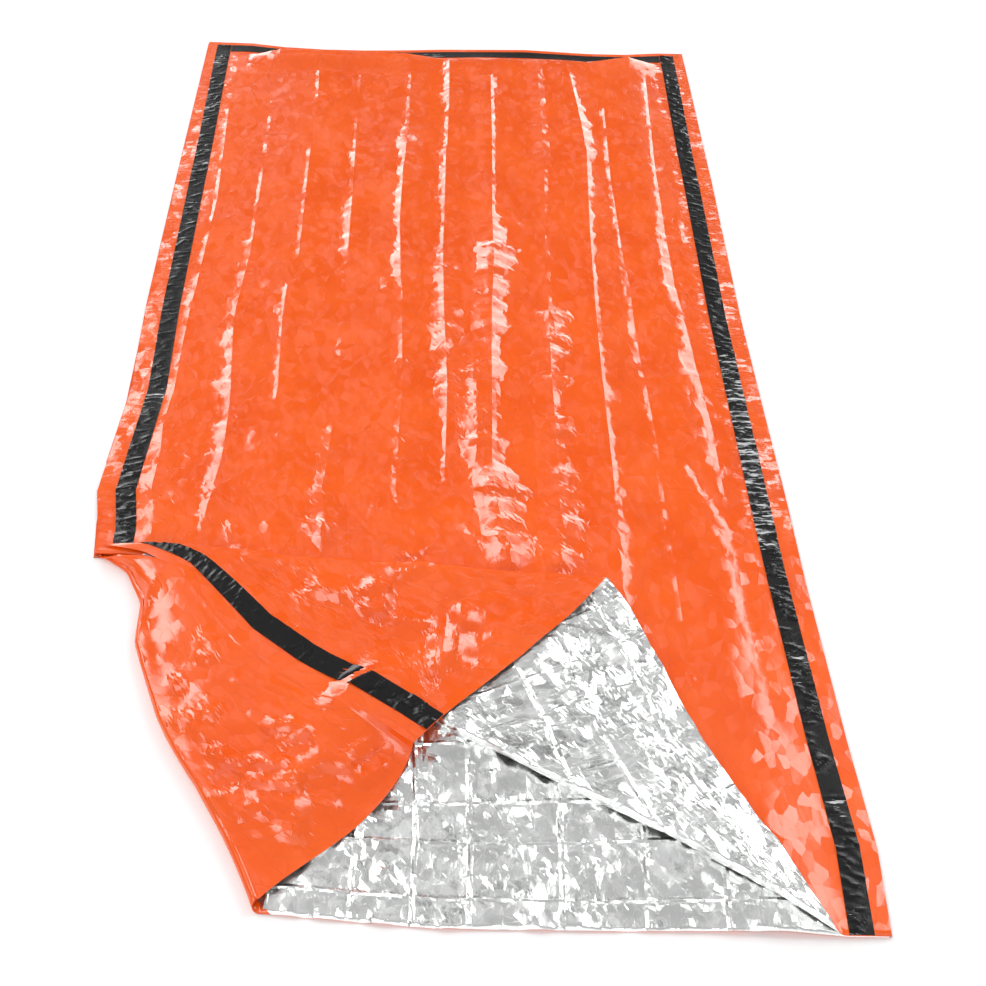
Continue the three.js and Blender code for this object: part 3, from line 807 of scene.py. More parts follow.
# The lower panel's turned-over corner, whose seam laps past the upper panel's
TURNED_CALM = 16
TURNED_LOWEST = -4
TURNED_START = 60
SEAM_LAP, SEAM_LAP_EASE, SEAM_LAP_RISE = 1.6, 3, 0.8


def seam_rise(up):
    """The seam's own ups and downs, with a pleat where the turned-over strip is pinched."""
    steep = np.maximum(0, 1 - (up - PINCH_UP) / PINCH_DROP)
    gentle = np.maximum(0, 1 - (PINCH_UP - up) / PINCH_RAMP)
    pleat = PINCH_HEIGHT * np.where(up > PINCH_UP, steep, gentle)
    past_pleat = (up - PINCH_UP - 2 * PINCH_DROP) / PINCH_HOLLOW_REACH
    return pleat - PINCH_HOLLOW * np.exp(-(past_pleat ** 2))


def across_line(point, one, other):
    """Signed distance from the line through two places, positive on its left."""
    axis = (other - one) / np.linalg.norm(other - one)
    away = point - one
    return axis[0] * away[:, 1] - axis[1] * away[:, 0]


def turned_share(across, half):
    """How far a fold has turned at a distance from its crease, from 0 to 1."""
    return ease((across + half) / (2 * half))


def half_roll(crease, along):
    return math.pi / 2 * look_up(crease, "along", along, "roll")


def upper_detail(flat):
    """Outward height of the upper panel's creases and crinkles."""
    point, _ = upper_lay(flat)
    first_along, first_across = along_and_across(flat, PIVOT, FIRST_ANGLE)
    second_along, second_across = along_and_across(flat, PIVOT, SECOND_ANGLE)
    on_flap = turned_share(first_across, half_roll(FIRST_CREASE, first_along))
    on_corner = turned_share(second_across, half_roll(SECOND_CREASE, second_along))
    ends = np.array([[0.0, 0.0], [SECOND_END, 0.0], [FIRST_CREASE_END, 0.0]])
    seam_tip, flap_tip, crease_tip = upper_lay(ends)[0]
    under_flap = ease(across_line(point, flap_tip, PIVOT) / FLAP_COVER + FLAP_COVER_START)
    past_hem = across_line(point, crease_tip, flap_tip)
    under_flap = under_flap * ease(past_hem / FLAP_COVER + FLAP_COVER_START)
    under_corner = ease(-across_line(point, flap_tip, seam_tip) / CORNER_COVER)

    lying = np.zeros(len(flat))
    add_long_creases(lying, flat)
    add_folds(lying, flat, LYING_FOLDS)
    add_crinkles(lying, flat, LYING_CRINKLES)
    sides = ease((np.minimum(flat[:, 0], WIDTH - flat[:, 0]) - TAPE_INNER) / SIDE_CALM)
    foot = ease((LENGTH - FOOT_CALM_START - flat[:, 1]) / FOOT_CALM)
    lying *= sides * foot * (1 - FLAP_COVER_CALM * under_flap)

    foil = np.zeros(len(flat))
    add_folds(foil, flat, FOIL_FOLDS)
    add_crinkles(foil, flat, FLAP_FOIL_CRINKLES)
    foil = np.clip(foil * (1 - CORNER_COVER_CALM * under_corner), *FLAP_FOIL_RANGE)

    corner = np.zeros(len(flat))
    add_folds(corner, flat, FLAP_FOLDS, CORNER_FOLD_RISE, CORNER_FOLD_WIDTH)
    add_crinkles(corner, flat, FLAP_CRINKLES)
    near_seam = ease((flat[:, 0] - TAPE_INNER) / SEAM_FADE)
    corner = corner * near_seam + seam_rise(flat[:, 1]) * (1 - near_seam)
    corner = np.maximum(corner, FLAP_LOWEST)
    return lying * (1 - on_flap) - foil * on_flap * (1 - on_corner) + corner * on_corner


def lower_detail(flat):
    """Height of the lower panel's creases towards its outside: its foil, then its turned-over corner."""
    along, across = along_and_across(flat, THIRD_START, HALF_TURN)
    half = half_roll(THIRD_CREASE, np.maximum(along, 0))
    turned = turned_share(across, half) * (along > 0)

    foil = np.zeros(len(flat))
    add_folds(foil, flat, FOIL_GRID)
    add_crinkles(foil, flat, FOIL_CRINKLES)
    corner_tip = THIRD_START + THIRD_START[1] * SEAM_AXIS
    mouth_end = np.array([THIRD_START[1] * math.tan(HALF_TURN), 0.0])
    past_corner = across_line(flat, corner_tip, mouth_end)
    past_corner = np.maximum(past_corner, across_line(flat, THIRD_START, corner_tip))
    is_open = ease((past_corner + FOIL_OPEN_START) / FOIL_OPEN_EASE)
    highest = FOIL_SHUT + (FOIL_OPEN - FOIL_SHUT) * is_open
    foil = np.minimum(np.maximum(foil + FOIL_BASE, 0), highest)
    foil *= ease((FOIL_END - flat[:, 1]) / FOIL_END_EASE)
    first_along, first_across = along_and_across(flat, PIVOT, FIRST_ANGLE)
    swell = ease((SWELL_FRONT - first_across) / SWELL_FRONT_EASE)
    swell = swell * ease((first_across + SWELL_BACK) / SWELL_BACK_EASE) * ease(first_along / SWELL_START)
    roof = np.maximum(loft(flat) - ROOF_GAP, 0)
    roof = np.where(first_across < ROOF_EDGE, roof, FOIL_OPEN + FOIL_SWELL)
    foil = np.minimum(foil + FOIL_SWELL * swell, roof)
    foil *= ease((across_line(flat, THIRD_START, mouth_end) - FOLD_CALM_START) / FOLD_CALM)

    corner = np.zeros(len(flat))
    add_folds(corner, flat, TURNED_FOLDS, CORNER_FOLD_RISE, CORNER_FOLD_WIDTH)
    add_crinkles(corner, flat, TURNED_CRINKLES)
    corner *= ease((across - half) / TURNED_CALM)
    near_seam = ease(flat[:, 0] / SEAM_FADE)
    corner = corner * near_seam + seam_rise(flat[:, 1]) * (1 - near_seam)
    lap = SEAM_LAP_RISE * (1 - ease((flat[:, 0] - SEAM_LAP) / SEAM_LAP_EASE))
    corner = np.maximum(corner, TURNED_LOWEST) + lap
    corner *= ease((THIRD_START[1] - flat[:, 1]) / TURNED_START)
    return corner * turned - foil * (1 - turned)


# The pieces

FACING_STEP = 0.4

# Rows and columns of the sheets
UPPER_ROWS = np.append(np.linspace(LENGTH, 1930, 16), 1925)
UPPER_DOWN = np.linspace(0, 1, 232)[1:-1]
UPPER_CELL = 6.2
FLAP_PARTS = np.linspace(0, 1, 56)[1:-1]
FLAP_CORNER_LINES = 50
FOOT_STILL = 3
INNER_STEP = 4
LOWER_ROWS = np.append(np.linspace(LENGTH, 620, 12), 560)
LOWER_DOWN = np.linspace(0, 1, 92)[1:-1]
LOWER_CELL, FOIL_CELL = 4.2, 6
TURNED_LINES = 84
SHUT_REACH = 20

# The side tapes: rows of places, where the left one starts to stray, and ranges for their creases
TAPE_STEP = 1.6
TAPE_COLUMNS = np.linspace(0, TAPE_WIDTH, 9)
TAPE_END = 0.3
TAPE_UPS = np.arange(LENGTH - FOOT_TAPE_OUTER, TAPE_END, -TAPE_STEP)
WANDER_START, WANDER_EASE = 570, 60
TAPE_CREASE_SHARE = 0.45
TAPE_CREASE_TILT = 0.35
TAPE_CREASE_REACH = (0.3, 1.1)
TAPE_CREASE_WIDTH = (2.2, 5)
TAPE_CREASE_SLOPE = (0.15, 0.6)
TAPE_HIGHEST = 2.2

# At the pinch the left tape stands up, and dips under a slanted pleat of the film
PINCH_LIFT, PINCH_LIFT_UP, PINCH_LIFT_REACH = 1.6, 8, 24
PINCH_SINK, PINCH_SINK_REACH, PINCH_SLANT = 6, 5, 0.35

# How strongly the side tapes are creased, by distance from the mouth
LEFT_STRONG = table(
    "up gain", (0, 2.2), (60, 2.0), (110, 0.7), (560, 0.8), (640, 1.4), (900, 0.6), (2000, 0.9),
)
RIGHT_STRONG = table(
    "up gain", (0, 0.8), (150, 1.0), (420, 1.2), (560, 2.4), (1000, 2.4), (1040, 0.7), (1450, 0.8),
    (1520, 1.6), (1780, 1.8), (2000, 0.8),
)

# The foot tape laps a little over the side tapes' lines
FOOT_TAPE_LAP = 4
FOOT_TAPE_STEP = 3.0
FOOT_TAPE_ROWS = 8


def facing(place, flat):
    """Outward direction of the upper side of a sheet, from its lay alone."""
    step_across, step_up = np.array([FACING_STEP, 0]), np.array([0, FACING_STEP])
    across = place(flat + step_across) - place(flat - step_across)
    up = place(flat + step_up) - place(flat - step_up)
    normal = np.cross(across, up)
    return normal / np.linalg.norm(normal, axis=1, keepdims=True)


def upper_surface(flat):
    return upper_place(flat) + facing(upper_place, flat) * upper_detail(flat)[:, None]


def lower_surface(flat):
    return lower_place(flat) - facing(lower_place, flat) * lower_detail(flat)[:, None]


def spread(stops, cell):
    """Columns through the stops, with even steps of about one cell between them."""
    runs = []
    for start, end in zip(stops, stops[1:]):
        steps = max(int(round((end - start) / cell)), 1)
        runs.append(np.linspace(start, end, steps + 1)[:-1])
    return np.concatenate(runs + [[stops[-1]]])


def rolled_points(sheet, lines, rolls):
    """Points on the lines of the rolls, among a sheet's last rows, which lie on the given lines."""
    rows = zip(sheet.rows[-len(lines):], lines)
    return np.concatenate([row for row, line in rows if line in rolls])


def inner_sink(places, grid):
    """How far the sparse inner side of the lying film sinks, to stay under the outer side's creases."""
    height = places[grid][:, :, 2]
    lowest = height.copy()
    for step in range(1, INNER_STEP + 1):
        lowest[step:] = np.minimum(lowest[step:], height[:-step])
        lowest[:-step] = np.minimum(lowest[:-step], height[step:])
    wide = lowest.copy()
    lowest[:, 1:] = np.minimum(lowest[:, 1:], wide[:, :-1])
    lowest[:, :-1] = np.minimum(lowest[:, :-1], wide[:, 1:])
    sink = np.zeros(len(places))
    sink[grid] = height - lowest
    return sink


def stir_corner(sheet, start, corner, seed):
    """Stirs the lines that close up into a sheet's corner, but not the first and the last few."""
    sheet.stir(range(start + 1, start + len(corner) - 3), [], seed)


def upper_panel(materials):
    first = roll_lines(PIVOT, FIRST_CREASE_END, FIRST_CREASE)
    second = roll_lines(PIVOT, SECOND_END, SECOND_CREASE)
    flap = [between_lines(first[-1], second[0], part) for part in FLAP_PARTS]
    corner = closing_lines(second[-1], FLAP_CORNER_LINES)
    lines = first + flap + second + corner + [straight_line(0, SEAM_INSET)]
    end = first[0](1.0)[0]
    left = spread([SEAM_INSET, *CREASE_BASES, end], UPPER_CELL)
    right = spread([end, WIDTH], UPPER_CELL)[1:]
    sheet = Sheet(sheet_rows(UPPER_ROWS, UPPER_DOWN, left, right, TAPE_INNER, lines, drift))
    fold_start = len(UPPER_ROWS) + len(UPPER_DOWN)
    flap_start = fold_start + len(first)
    corner_start = flap_start + len(flap) + len(second)
    sheet.stir(range(FOOT_STILL, fold_start - 2), np.searchsorted(left, CREASE_BASES), seed=71)
    sheet.stir(range(flap_start + 1, flap_start + len(flap) - 1), [], seed=72)
    stir_corner(sheet, corner_start, corner, seed=73)
    near_fold = fold_start - INNER_STEP * 2
    dense = range(near_fold, len(sheet.rows))
    sides = sheet.faces(range(len(sheet.rows))), sheet.faces([*range(0, near_fold, INNER_STEP), *dense])
    places = upper_surface(sheet.flat)
    sink = inner_sink(places, np.array(sheet.rows[:near_fold + 1]))
    rolls = rolled_points(sheet, lines, first + second)
    return thin_body("upper_panel_film", places, sheet.flat, sides, FILM, 1, materials, rolls, sink)


def lower_panel(materials):
    third_end = THIRD_START[1] * math.tan(HALF_TURN)
    third = roll_lines(THIRD_START, third_end, THIRD_CREASE)
    corner = closing_lines(third[-1], TURNED_LINES)
    lines = third + corner + [straight_line(0, SEAM_INSET)]
    end = third[0](1.0)[0]
    inner_grid = FOIL_GRID_ACROSS[1:]
    left = np.concatenate([[-SEAM_LAP], spread([SEAM_INSET, end], LOWER_CELL)])
    right = spread([end, *inner_grid, WIDTH], FOIL_CELL)[1:]
    sheet = Sheet(sheet_rows(LOWER_ROWS, LOWER_DOWN, left, right, SEAM_INSET, lines, no_drift))
    fold_start = len(LOWER_ROWS) + len(LOWER_DOWN)
    grid_columns = len(left) - 1 + np.searchsorted(right, inner_grid)
    sheet.stir(range(len(LOWER_ROWS), fold_start - 2), grid_columns, seed=74)
    stir_corner(sheet, fold_start + len(third), corner, seed=75)
    faces = sheet.faces(range(len(sheet.rows)))
    places = lower_surface(sheet.flat)
    rolls = rolled_points(sheet, lines, third)
    _, from_crease = along_and_across(sheet.flat[rolls], THIRD_START, HALF_TURN)
    shut = rolls[np.abs(from_crease) < SHUT_REACH]
    sides = faces, faces
    return thin_body("lower_panel_film", places, sheet.flat, sides, FILM, -1, materials, rolls, shut=shut)


def tape(name, flat_rows, crinkle, materials):
    """A strip of tape on the outside of the upper panel, with its own crinkles standing out from it."""
    sheet = Sheet(flat_rows)
    faces = sheet.faces(range(len(flat_rows)))
    places = upper_surface(sheet.flat)
    lift = FILM / 2 + TAPE_LIFT + crinkle(sheet.flat)
    places = places + vertex_normals(places, faces) * lift[:, None]
    return thin_body(name, places, sheet.flat, (faces, faces), TAPE, 1, materials)


def across_row(across, up):
    """A row of places at one distance from the mouth."""
    return np.stack([across, np.full(len(across), up)], axis=1)


def side_tape(name, left_edge, side, strong, seed, materials):
    rows = []
    for up in TAPE_UPS:
        shift = look_up(TAPE_WANDER, "up", up, side)
        if side == "left":
            shift = shift * ease((up - WANDER_START) / WANDER_EASE)
        rows.append(across_row(left_edge + shift + TAPE_COLUMNS, up))

    def crinkle(flat):
        height = np.zeros(len(flat))
        random = np.random.default_rng(seed)
        for _ in range(int(len(TAPE_UPS) * TAPE_CREASE_SHARE)):
            up = random.uniform(TAPE_UPS[-1], TAPE_UPS[0])
            gain = look_up(strong, "up", up, "gain")
            tilt = random.normal(0, TAPE_CREASE_TILT) * TAPE_WIDTH
            reach = random.uniform(*TAPE_CREASE_REACH) * TAPE_WIDTH
            middle = left_edge + random.uniform(0, TAPE_WIDTH)
            width = random.uniform(*TAPE_CREASE_WIDTH)
            rise = gain * random.uniform(*TAPE_CREASE_SLOPE) * width / 2
            start = (middle - reach / 2, up - tilt / 2)
            add_crease(height, flat, start, (middle + reach / 2, up + tilt / 2), rise, width, width)
        if side == "left":
            past_pinch = flat[:, 1] - PINCH_UP
            height += PINCH_LIFT * np.exp(-(((past_pinch - PINCH_LIFT_UP) / PINCH_LIFT_REACH) ** 2))
            slant = PINCH_SLANT * (flat[:, 0] - TAPE_INNER)
            height -= PINCH_SINK * np.exp(-(((past_pinch + slant) / PINCH_SINK_REACH) ** 2))
        return np.minimum(height, TAPE_HIGHEST)

    return tape(name, rows, crinkle, materials)


def foot_tape_strip(name, materials):
    across = np.arange(TAPE_INNER - FOOT_TAPE_LAP, WIDTH - TAPE_INNER + FOOT_TAPE_LAP, FOOT_TAPE_STEP)
    ups = np.linspace(LENGTH - FOOT_TAPE_OUTER, LENGTH - FOOT_TAPE_INNER, FOOT_TAPE_ROWS)
    rows = [across_row(across, up) for up in ups]
    return tape(name, rows, lambda flat: np.zeros(len(flat)), materials)


# Materials

Facets = namedtuple("Facets", "size stretch turn ragged depth")

# Facets of the crumpled film, in metres and radians, with the depth of their bumps
FACET_BEND_SCALE = 1.7
ORANGE_WIDE = Facets(0.042, 0.7, 0.5, 0.15, 0.0040)
ORANGE_FINE = Facets(0.013, 0.6, 1.1, 0.2, 0.0021)
ORANGE_PUCKERS = Facets(0.016, 2.4, 0.25, 0.5, 0.0028)
SILVER_FACETS = (
    Facets(0.045, 0.8, 0.4, 0.2, 0.010),
    Facets(0.017, 0.5, 1.2, 0.3, 0.0042),
    Facets(0.007, 0.45, 2.1, 0.4, 0.0014),
)

# Colours from dark to light, where the blend between them starts and ends, and ranges of roughness
BLEND_ENDS = (0.3, 0.7)
ORANGE_COLOURS = (0.87, 0.091, 0.001), (0.955, 0.119, 0.002)
SILVER_COLOURS = (0.92, 0.93, 0.92), (0.98, 0.99, 0.98)
# The tape's dark colour is its own black; its light colour is a painted highlight, for the pale streaks of
# its creases
TAPE_AND_GLINT_COLOURS = (0.006, 0.006, 0.006), (0.62, 0.63, 0.64)
ORANGE_PATCHES, SILVER_PATCHES = 9.0, 14.0
ORANGE_ROUGH, SILVER_ROUGH, BLACK_ROUGH = (0.12, 0.24), (0.18, 0.34), (0.14, 0.26)
ORANGE_SHINE, BLACK_SHINE = 0.8, 0.3

# Where the orange film changes, in metres across it or from its mouth: the smooth root of the folded corner,
# the puckers beside the tapes, fewer on the left, and the weaker wide facets near the mouth
ROOT_START, ROOT_END, ROOT_SIDE = (0.435, 0.452), (0.57, 0.60), (0.07, 0.11)
PUCKER_REACH, PUCKER_START = (0.056, 0.074), (0.57, 0.66)
PUCKER_SIDES, PUCKER_LEFT_SHARE = (0.3, 0.6), 0.5
WIDE_RANGE, WIDE_MOUTH_SHARE = (0.45, 0.7), 0.4

# Packing lines on the foil: half their width, their depth across and along it, and their uneven run
GRID_LINE_HALF = 3.5
GRID_ACROSS_DEPTH, GRID_UP_DEPTH = 0.0009, 0.0010
GRID_BEND_SCALE, GRID_BEND = 30.0, (0.006, 0.006, 0)

# Pale streaks of the tape, which are painted highlights of its creases in its colour and also bump it: where
# they are close together, along the tape or in patches at random, the scale and turn of the two noises that
# make them, and the noise value at which they start on plain and on crowded tape
CREASED_SIDE, CREASED_START, CREASED_END = (0.4, 0.6), (0.50, 0.60), (0.98, 1.06)
GLINT_PATCH_SCALE, GLINT_PATCH_RANGE, GLINT_PATCH_MOST = 9.0, (0.58, 0.70), 0.8
STREAKS = (((26, 150, 1), 0.35), ((26, 170, 1), -0.30))
STREAK_DETAIL, STREAK_ROUGHNESS = 4.0, 0.6
STREAK_PLAIN, STREAK_CREASED, STREAK_RANGE = 0.68, 0.52, (0, 0.12)
STREAK_DEPTH = 0.0012
GRAIN_SCALE, GRAIN_DEPTH = 420.0, 0.0003


class Looks:
    """A node tree, with short ways to add nodes to it and to join them."""

    def __init__(self, tree):
        self.tree = tree

    def add(self, kind, **values):
        node = self.tree.nodes.new(kind)
        for name, value in values.items():
            setattr(node, name, value)
        return node

    def join(self, value, socket):
        """Links another socket to this one, or sets it to a plain value."""
        if isinstance(value, bpy.types.NodeSocket):
            self.tree.links.new(value, socket)
        else:
            socket.default_value = value

    def feed(self, node, **inputs):
        """Joins values to a node's inputs, which are named with underscores for spaces."""
        for name, value in inputs.items():
            self.join(value, node.inputs[name.replace("_", " ")])

    def number(self, operation, *values):
        node = self.add("ShaderNodeMath", operation=operation)
        for value, socket in zip(values, node.inputs):
            self.join(value, socket)
        return node.outputs["Value"]

    def vector(self, operation, *values):
        node = self.add("ShaderNodeVectorMath", operation=operation)
        for value, socket in zip(values, node.inputs):
            self.join(value, socket)
        return node.outputs["Value" if operation == "DOT_PRODUCT" else "Vector"]

    def product(self, first, *others):
        for other in others:
            first = self.number("MULTIPLY", first, other)
        return first

    def part(self, vector, axis):
        node = self.add("ShaderNodeSeparateXYZ")
        self.feed(node, Vector=vector)
        return node.outputs[axis]

    def between(self, value, low, high):
        """A value from 0 to 1 turned into one from low to high."""
        node = self.add("ShaderNodeMapRange")
        self.feed(node, Value=value, To_Min=low, To_Max=high)
        return node.outputs["Result"]

    def step(self, value, ends, low=0, high=1):
        """A smooth step from low to high, while a value goes from one end to the other."""
        node = self.add("ShaderNodeMapRange", interpolation_type="SMOOTHSTEP")
        self.feed(node, Value=value, From_Min=ends[0], From_Max=ends[1], To_Min=low, To_Max=high)
        return node.outputs["Result"]

    def noise(self, vector, scale, detail=3.0, roughness=0.55, output="Fac"):
        node = self.add("ShaderNodeTexNoise")
        self.feed(node, Vector=vector, Scale=scale, Detail=detail, Roughness=roughness)
        return node.outputs[output]

    def stretched(self, place, scale, turn):
        node = self.add("ShaderNodeMapping")
        self.feed(node, Vector=place, Scale=scale, Rotation=(0, 0, turn))
        return node.outputs["Vector"]

    def film_place(self):
        """A point's place on the flat film, in metres."""
        return self.add("ShaderNodeAttribute", attribute_name="flat").outputs["Vector"]

    def facets(self, place, kind):
        """Heights of flat facets, each with its own tilt."""
        middle = (0.5, 0.5, 0.5)
        scaled = self.stretched(place, (1 / kind.size, kind.stretch / kind.size, 1), kind.turn)
        uneven = self.noise(scaled, FACET_BEND_SCALE, detail=1.0, output="Color")
        bend = self.vector("SUBTRACT", uneven, middle)
        bent = self.vector("ADD", scaled, self.vector("MULTIPLY", bend, (kind.ragged, kind.ragged, 0)))
        cells = self.add("ShaderNodeTexVoronoi", voronoi_dimensions="2D")
        self.feed(cells, Vector=bent, Scale=1.0)
        away = self.vector("SUBTRACT", bent, cells.outputs["Position"])
        tilt = self.vector("SUBTRACT", cells.outputs["Color"], middle)
        return self.vector("DOT_PRODUCT", away, tilt)

    def line_ridges(self, place, axis, spots):
        """Heights of thin straight ridges at some places along an axis."""
        along = self.part(place, axis)
        total = 0.0
        for spot in spots:
            away = self.number("ABSOLUTE", self.number("SUBTRACT", along, spot * MM))
            ridge = self.number("SUBTRACT", 1.0, self.number("DIVIDE", away, GRID_LINE_HALF * MM))
            total = self.number("ADD", total, self.number("MAXIMUM", ridge, 0.0))
        return total

    def bumps(self, *layers):
        """The normal under bumps that lie over one another, given as heights and depths."""
        normal = None
        for height, depth in layers:
            node = self.add("ShaderNodeBump")
            self.feed(node, Height=height, Distance=depth, Strength=1.0)
            if normal is not None:
                self.feed(node, Normal=normal)
            normal = node.outputs["Normal"]
        return normal

    def blend(self, share, colours):
        node = self.add("ShaderNodeValToRGB")
        for element, position, colour in zip(node.color_ramp.elements, BLEND_ENDS, colours):
            element.position = position
            element.color = (*colour, 1)
        self.feed(node, Fac=share)
        return node.outputs["Color"]


def new_material(name):
    """A material with one principled shader, its looks and that shader."""
    material = bpy.data.materials.new(name)
    material.use_nodes = True
    tree = material.node_tree
    return material, Looks(tree), tree.nodes["Principled BSDF"]


def orange_film():
    """Glossy orange film, with facets, fine crinkles and puckers along its sides."""
    material, looks, shader = new_material("orange_film")
    place = looks.film_place()
    across, up = looks.part(place, "X"), looks.part(place, "Y")
    patches = looks.noise(place, ORANGE_PATCHES, detail=4.0)
    root = looks.product(
        looks.step(up, ROOT_START), looks.step(up, ROOT_END, 1, 0), looks.step(across, ROOT_SIDE, 1, 0),
    )
    off_root = looks.number("SUBTRACT", 1.0, root)
    wide = looks.facets(place, ORANGE_WIDE)
    wide = looks.product(wide, looks.step(up, WIDE_RANGE, WIDE_MOUTH_SHARE, 1), off_root)
    fine = looks.product(looks.facets(place, ORANGE_FINE), off_root)
    from_side = looks.number("MINIMUM", across, looks.number("SUBTRACT", WIDTH * MM, across))
    near_tape = looks.step(from_side, PUCKER_REACH, 1, 0)
    near_tape = looks.product(near_tape, looks.step(across, PUCKER_SIDES, PUCKER_LEFT_SHARE, 1))
    puckers = looks.facets(place, ORANGE_PUCKERS)
    puckers = looks.product(puckers, near_tape, looks.step(up, PUCKER_START))
    normal = looks.bumps(
        (wide, ORANGE_WIDE.depth), (fine, ORANGE_FINE.depth), (puckers, ORANGE_PUCKERS.depth),
    )
    colour = looks.blend(patches, ORANGE_COLOURS)
    rough = looks.between(patches, *ORANGE_ROUGH)
    looks.feed(shader, Base_Color=colour, Roughness=rough, Specular_IOR_Level=ORANGE_SHINE, Normal=normal)
    return material


def silver_foil():
    """Bright metal side of the film, crumpled into small facets."""
    material, looks, shader = new_material("silver_foil")
    place = looks.film_place()
    patches = looks.noise(place, SILVER_PATCHES, detail=4.0)
    uneven = looks.noise(place, GRID_BEND_SCALE, output="Color")
    bent = looks.vector("ADD", place, looks.vector("MULTIPLY", uneven, GRID_BEND))
    normal = looks.bumps(
        *[(looks.facets(place, kind), kind.depth) for kind in SILVER_FACETS],
        (looks.line_ridges(bent, "X", FOIL_GRID_ACROSS), GRID_ACROSS_DEPTH),
        (looks.line_ridges(bent, "Y", [up for up, _ in FOIL_GRID_UP]), GRID_UP_DEPTH),
    )
    colour = looks.blend(patches, SILVER_COLOURS)
    rough = looks.between(patches, *SILVER_ROUGH)
    looks.feed(shader, Base_Color=colour, Metallic=1.0, Roughness=rough, Normal=normal)
    return material


def black_tape():
    """Black glossy tape with creases across it, whose highlights are painted as pale streaks in its colour,
    close together on one length of the right tape.
    """
    material, looks, shader = new_material("black_tape")
    place = looks.film_place()
    across, up = looks.part(place, "X"), looks.part(place, "Y")
    crowded_glints = looks.product(
        looks.step(across, CREASED_SIDE), looks.step(up, CREASED_START), looks.step(up, CREASED_END, 1, 0),
    )
    # Patches at random where the painted highlight streaks crowd, as on the length of the right tape
    glint_patches = looks.step(looks.noise(place, GLINT_PATCH_SCALE, detail=1.0), GLINT_PATCH_RANGE, 0, GLINT_PATCH_MOST)
    crowded_glints = looks.number("MAXIMUM", crowded_glints, glint_patches)
    rising, falling = [
        looks.noise(looks.stretched(place, scale, turn), 1.0, STREAK_DETAIL, STREAK_ROUGHNESS)
        for scale, turn in STREAKS
    ]
    edge = looks.between(crowded_glints, STREAK_PLAIN, STREAK_CREASED)
    over = looks.number("SUBTRACT", looks.number("MAXIMUM", rising, falling), edge)
    streaks = looks.step(over, STREAK_RANGE)
    grain = looks.noise(place, GRAIN_SCALE)
    normal = looks.bumps((streaks, STREAK_DEPTH), (grain, GRAIN_DEPTH))
    # The pale colour of the streaks is a painted highlight on the black tape
    colour = looks.blend(streaks, TAPE_AND_GLINT_COLOURS)
    rough = looks.between(grain, *BLACK_ROUGH)
    looks.feed(shader, Base_Color=colour, Roughness=rough, Specular_IOR_Level=BLACK_SHINE, Normal=normal)
    return material


# Stage, light and camera, in metres and by the parts of a direction

FLOOR_HALF, FLOOR_LEVEL = 40.0, -0.0004
FLOOR_COLOUR, FLOOR_ROUGHNESS, FLOOR_SHINE = (0.97, 0.97, 0.97, 1), 0.9, 0.1

# Bright bands on both sides, which lean out as they rise
BAND_LEAN, BAND_START, BAND_SOFT, BAND_END = 0.32, 0.185, 0.06, 0.42
BAND_FADE = (0.16, 0.44)
BAND_SIDES, LEFT_BAND, RIGHT_BAND = (-0.1, 0.1), 5.4, 4.8

# The room, brighter in front and dimmer low down past the foot
ROOM_LIGHT, FRONT_LIGHT, FRONT_RANGE = 0.42, 1.1, (-0.25, -0.55)
ROOM_DIM, LOW_END_RANGE = 0.3, (-0.25, 0.05)

# Bright patches past the foot, and a spot of light overhead
PATCH_SCALE, PATCH_RANGE, PATCH_LIGHT, PATCH_FADE = 8.0, (0.57, 0.66), 1.3, (0.25, 0.4)
KEY_DIRECTION, KEY_RANGE, KEY_LIGHT = (-0.25, -0.35, 0.90), (0.965, 0.985), 3.5

SENSOR = 36.0
LENS = 49.36
CAMERA_YAW, CAMERA_PITCH, CAMERA_ROLL = 0.0624, 0.8075, 0.0570
CAMERA_PLACE = (-0.0206, -1.6824, 1.4368)


def floor():
    """A plain pale floor, larger than the view."""
    mesh = bpy.data.meshes.new("floor")
    corners = [(x * FLOOR_HALF, y * FLOOR_HALF, FLOOR_LEVEL) for x, y in ((-1, -1), (1, -1), (1, 1), (-1, 1))]
    mesh.from_pydata(corners, [], [(0, 1, 2, 3)])
    piece = bpy.data.objects.new("floor", mesh)
    bpy.context.scene.collection.objects.link(piece)
    material, looks, shader = new_material("pale_floor")
    looks.feed(shader, Base_Color=FLOOR_COLOUR, Roughness=FLOOR_ROUGHNESS, Specular_IOR_Level=FLOOR_SHINE)
    mesh.materials.append(material)


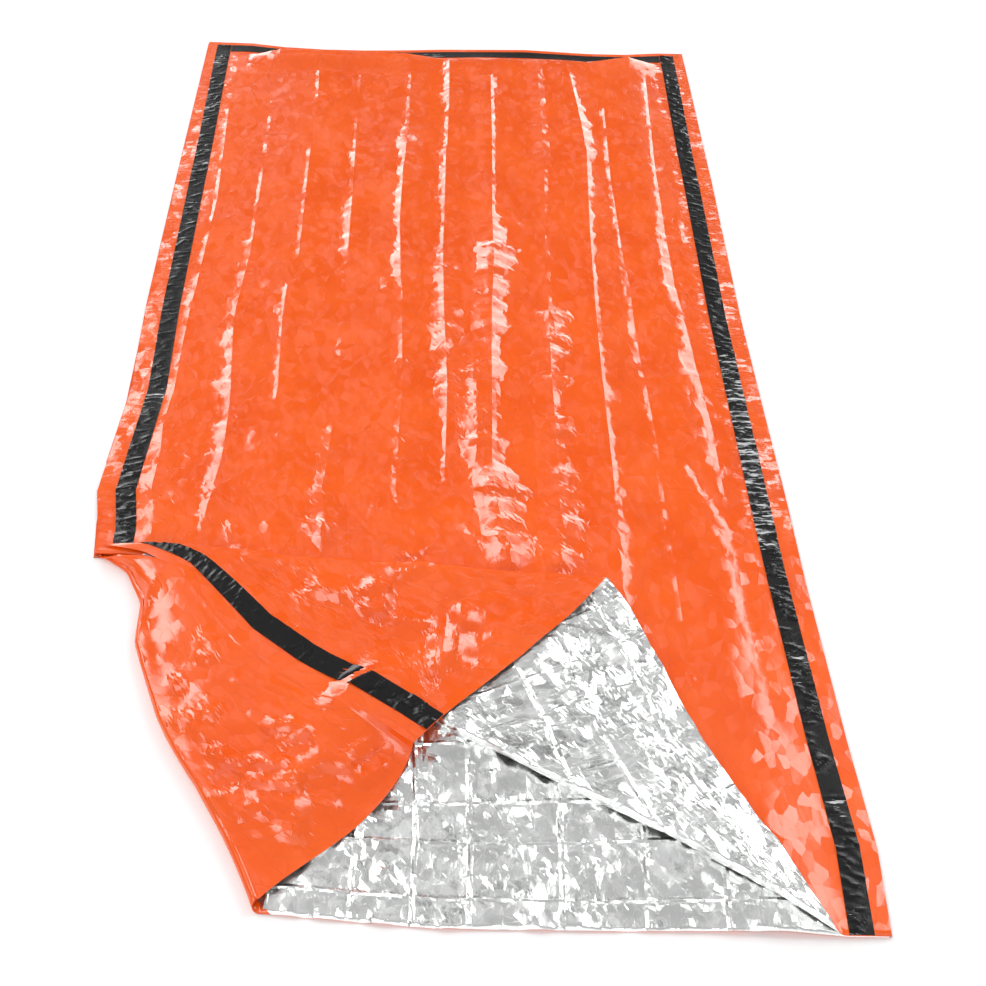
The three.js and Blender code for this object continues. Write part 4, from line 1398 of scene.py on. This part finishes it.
def studio():
    """A soft room: two bright bands beside the bag, a light front, and a dark low end past its foot."""
    world = bpy.data.worlds.new("room")
    bpy.context.scene.world = world
    world.use_nodes = True
    looks = Looks(world.node_tree)
    direction = looks.add("ShaderNodeTexCoord").outputs["Generated"]
    x, y, z = [looks.part(direction, axis) for axis in "XYZ"]
    beyond = looks.number("SUBTRACT", looks.number("ABSOLUTE", x), looks.product(z, BAND_LEAN))
    starts = looks.step(beyond, (BAND_START, BAND_START + BAND_SOFT))
    ends = looks.step(beyond, (BAND_END, BAND_END + 2 * BAND_SOFT), 1, 0)
    band_light = looks.step(x, BAND_SIDES, LEFT_BAND, RIGHT_BAND)
    bands = looks.product(starts, ends, looks.step(y, BAND_FADE), band_light)
    front = looks.step(y, FRONT_RANGE, ROOM_LIGHT, FRONT_LIGHT)
    low_end = looks.step(looks.number("SUBTRACT", y, z), LOW_END_RANGE, 1, ROOM_DIM)
    patches = looks.step(looks.noise(direction, PATCH_SCALE, detail=1.0), PATCH_RANGE, 0, PATCH_LIGHT)
    towards_key = looks.vector("DOT_PRODUCT", direction, KEY_DIRECTION)
    strength = looks.product(front, low_end)
    for light in (
        bands,
        looks.product(patches, looks.step(y, PATCH_FADE)),
        looks.step(towards_key, KEY_RANGE, 0, KEY_LIGHT),
    ):
        strength = looks.number("ADD", strength, light)
    looks.feed(world.node_tree.nodes["Background"], Color=(1, 1, 1, 1), Strength=strength)


def camera():
    """The photograph's view of the bag."""
    data = bpy.data.cameras.new("camera")
    data.sensor_width = SENSOR
    data.sensor_fit = "HORIZONTAL"
    data.lens = LENS
    rig = bpy.data.objects.new("camera", data)
    forward = Vector((
        math.sin(CAMERA_YAW) * math.cos(CAMERA_PITCH),
        math.cos(CAMERA_YAW) * math.cos(CAMERA_PITCH),
        -math.sin(CAMERA_PITCH),
    ))
    level = Vector((math.cos(CAMERA_YAW), -math.sin(CAMERA_YAW), 0))
    right = level * math.cos(CAMERA_ROLL) + level.cross(forward) * math.sin(CAMERA_ROLL)
    up = right.cross(forward)
    turn = Matrix((right, up, -forward)).transposed()
    rig.matrix_world = Matrix.Translation(CAMERA_PLACE) @ turn.to_4x4()
    bpy.context.scene.collection.objects.link(rig)
    bpy.context.scene.camera = rig


# The bag

camera()
studio()
floor()
film = [orange_film(), silver_foil()]
strip = [black_tape()] * 2

upper = upper_panel(film)
lower = lower_panel(film)
left_tape = side_tape("left_tape_strip", TAPE_INSET, "left", LEFT_STRONG, 61, strip)
right_tape = side_tape("right_tape_strip", WIDTH - TAPE_INNER, "right", RIGHT_STRONG, 62, strip)
foot_tape = foot_tape_strip("foot_tape_strip", strip)

for piece, node, slot in (
    (upper, "upper_panel", "film"),
    (lower, "lower_panel", "film"),
    (left_tape, "left_tape", "tape"),
    (right_tape, "right_tape", "tape"),
    (foot_tape, "foot_tape", "tape"),
):
    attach(piece, "root")
    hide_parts(node)

bpy.context.scene.view_settings.view_transform = "Standard"
